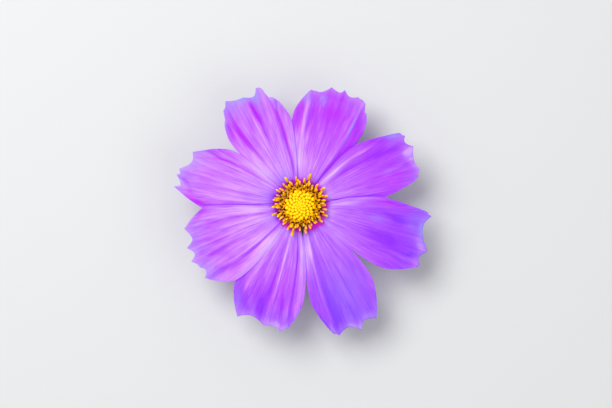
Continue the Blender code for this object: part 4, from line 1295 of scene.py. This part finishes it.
# %% Shape the cup of inner bracts
INNER_BRACT_AZIMUTH = 26.0
INNER_BRACT_SPINE = [(3.3, 9.05), (3.7, 11.2), (4.5, 12.3), (6.4, 12.6)]
INNER_BRACT_THICKNESS = (0.45, 0.2)  # at the foot and at the points
INNER_ROWS, INNER_COLUMNS = 22, 192
LOBE_ROUNDNESS = 0.8  # the lower, the rounder
NOTCH_FOOT = 0.6  # share of the way up the cup where its notches end
NOTCH_BULGE = 0.12  # how far the cup stands out at its notches
NOTCH_MARGIN = 0.45  # how wide the straw-coloured margin is at the notches, in shares of a lobe
NOTCH_MARGIN_RISE = (0.3, 0.8)  # shares of the way up over which that margin appears
TOP_MARGIN_START = 0.9  # share of the way up where the margin along the top begins
INNER_MARGIN_SHARE = 0.8  # how much of the margin's colour shows


def make_cup():
    """The cup of inner bracts, its lobes meeting in soft notches, the middle of one under a petal."""
    angles = np.arange(INNER_COLUMNS) * 2 * math.pi / INNER_COLUMNS
    lobe = np.abs(np.cos(angles * BRACT_COUNT / 2)) ** LOBE_ROUNDNESS
    along = np.broadcast_to(np.linspace(0, 1, INNER_ROWS)[:, None], (INNER_ROWS, INNER_COLUMNS))
    curve = bezier(INNER_BRACT_SPINE, along * (NOTCH_FOOT + (1 - NOTCH_FOOT) * lobe))
    reach = curve[..., 0] + NOTCH_BULGE * np.abs(np.sin(angles * BRACT_COUNT / 2))
    turn = angles + math.radians(INNER_BRACT_AZIMUTH)
    middle = on_axis(np.stack([reach * np.cos(turn), reach * np.sin(turn), curve[..., 1]], axis=2))
    foot, point = INNER_BRACT_THICKNESS
    thickness = foot - (foot - point) * along
    uv_across = np.broadcast_to(BRACT_COUNT * np.abs(angles / math.pi - 1), reach.shape)
    cup = make_blade("inner_bract_cup", middle, thickness, uv_across, along, INNER_FINISH, wraps=True)
    low, high = NOTCH_MARGIN_RISE
    near_notch = smooth_step((NOTCH_MARGIN - lobe) / NOTCH_MARGIN)
    near_notch = near_notch * smooth_step((along - low) / (high - low))
    near_top = smooth_step((along - TOP_MARGIN_START) / (1 - TOP_MARGIN_START))
    edge = np.maximum(near_notch, near_top)
    set_attribute(cup, "edge", np.tile(edge.ravel(), 2) * INNER_MARGIN_SHARE)
    return cup


# %% Make the bracts
COLLAR = [(2.4, 7.6), (3.30, 7.75), (3.42, 8.05), (3.42, 8.45), (3.28, 8.7), (2.4, 8.8)]
COLLAR_SIDES = 64

bracts = [make_outer_bract(number, tip) for number, tip in enumerate(OUTER_BRACT_TIPS)]
points, faces = turned(COLLAR, COLLAR_SIDES)
collar = make_object("bract_collar", on_axis(points), faces, OUTER_FINISH)
set_uv(collar, np.zeros(len(points)), np.zeros(len(points)))
for obj in [*bracts, collar]:
    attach(obj, "root")
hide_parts("outer_bracts")
cup = make_cup()
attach(cup, "root")
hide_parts("inner_bracts")
print("outer bracts:", len(bracts), "cup faces:", len(cup.data.polygons))

# %% [markdown]
# ## Stem
# The stem is a ridged green rod, streaked with red-brown. It bends under the bloom and lies on the
# surface, and its cut end shows the pale pith. It is a tube along a curve, with its rings square
# to the curve and their radius wavy, so that the ridges run along it.

# %% Make the stem's finish
STEM_STREAKS = (14.0, 3.0)  # how often they change across and along the stem
SKIN_STOPS = [(0.3, "#7A4A33"), (0.45, "#7C6A38"), (0.6, "#748038"), (0.75, "#8A9450")]


def stem_material():
    """Stem skin: waxy and ridged, green streaked with red-brown, and pale dry pith on the cut."""
    material, tree = new_material("stem skin", {
        "Roughness": 0.45, "Coat Weight": 0.15, "Coat Roughness": 0.4,
    })
    fibres = add_node(tree, "ShaderNodeUVMap", uv_map="fibres").outputs["UV"]
    pith = add_node(tree, "ShaderNodeAttribute", attribute_name="pith").outputs["Fac"]
    streaks = fibre_noise(tree, fibres, STEM_STREAKS, 4.0)
    skin = add_node(tree, "ShaderNodeValToRGB", {"Fac": streaks}, SKIN_STOPS).outputs["Color"]
    cut = add_node(tree, "ShaderNodeMix", {
        "Factor_Float": pith, "A_Color": skin, "B_Color": linear("#D9DBB4"),
    }, data_type="RGBA")
    dress(tree, streaks, 0.4, 0.1, find_socket(cut.outputs, "Result_Color"))
    return material


STEM_FINISH = stem_material()
print("stem material nodes:", len(STEM_FINISH.node_tree.nodes))

# %% Make the stem
STEM_RADIUS = 0.88
STEM_AZIMUTH = 26.0
STEM_SWEEP = 0.12  # degrees that it turns aside for each mm
STEM_REACH = 34.0
STEM_TOP = (9.0, 8.6, 8.2, 7.9, 7.6, 7.3)  # heights of the rings in the receptacle
STEM_CORNERS = [(0.0, 7.0), (0.0, 1.4), (5.5, 0.88), (16.0, 0.88)]
BEND_RINGS, REST_RINGS = 40, 30
RECEPTACLE_RADIUS = 2.4
FLARE = (6.4, 8.2)  # heights between which the stem widens into the receptacle
RIDGES, RIDGE_DEPTH = 8, 0.05
PITH_RINGS = (0.86, 0.45)  # shares of the cut's radius
PITH_SINK = 0.12
STEM_SIDES = 48
STEM_SIDEWAYS = (0.0, 1.0, 0.3)  # a direction that the stem never runs in, to turn its rings by


def stem_path():
    """Middles of the stem's rings and the radius of each, from the receptacle to the cut."""
    path = [(0.0, height) for height in STEM_TOP]
    path += [tuple(p) for p in bezier(STEM_CORNERS, np.linspace(0, 1, BEND_RINGS))]
    rest = np.linspace(STEM_CORNERS[-1][0], STEM_REACH, REST_RINGS)[1:]
    path += [(reach, STEM_RADIUS) for reach in rest]
    out, height = np.array(path).T
    turns = np.radians(STEM_AZIMUTH - STEM_SWEEP * out)
    centres = on_axis(np.stack([out * np.cos(turns), out * np.sin(turns), height], axis=1))
    flare = smooth_step((height - FLARE[0]) / (FLARE[1] - FLARE[0]))
    return centres, STEM_RADIUS + (RECEPTACLE_RADIUS - STEM_RADIUS) * flare


def make_stem():
    """The ridged stem, closed by the receptacle's top and by the sunk pith of the cut."""
    centres, radii = stem_path()
    ways = np.gradient(centres, axis=0)
    ways /= np.linalg.norm(ways, axis=1, keepdims=True)
    side = np.cross(ways[0], STEM_SIDEWAYS)
    angles = np.arange(STEM_SIDES) * 2 * math.pi / STEM_SIDES
    cosines, sines = np.cos(angles)[:, None], np.sin(angles)[:, None]
    ridges = 1 - RIDGE_DEPTH * (0.5 - 0.5 * np.cos(RIDGES * angles))
    rings = []
    for centre, way, radius in zip(centres, ways, radii):
        side = side - way * np.dot(side, way)
        side /= np.linalg.norm(side)
        up = np.cross(way, side)
        rings.append(centre + (radius * ridges)[:, None] * (cosines * side + sines * up))
    rim = len(rings)
    for share in PITH_RINGS:
        sink = ways[-1] * PITH_SINK * (1 - share)
        rings.append(centres[-1] + (rings[rim - 1] - centres[-1]) * share - sink)
    faces = tube_faces(len(rings), STEM_SIDES)
    stem = make_object("peduncle", np.concatenate(rings), faces, STEM_FINISH)
    around = np.abs(angles / math.pi - 1)
    along = np.repeat(np.arange(len(rings)) / len(rings), STEM_SIDES)
    set_uv(stem, np.tile(around, len(rings)), along)
    pith = np.zeros((len(rings), STEM_SIDES))
    pith[rim:] = 1.0
    set_attribute(stem, "pith", pith)
    return stem


stem = make_stem()
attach(stem, "root")
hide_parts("stem")
print("stem faces:", len(stem.data.polygons))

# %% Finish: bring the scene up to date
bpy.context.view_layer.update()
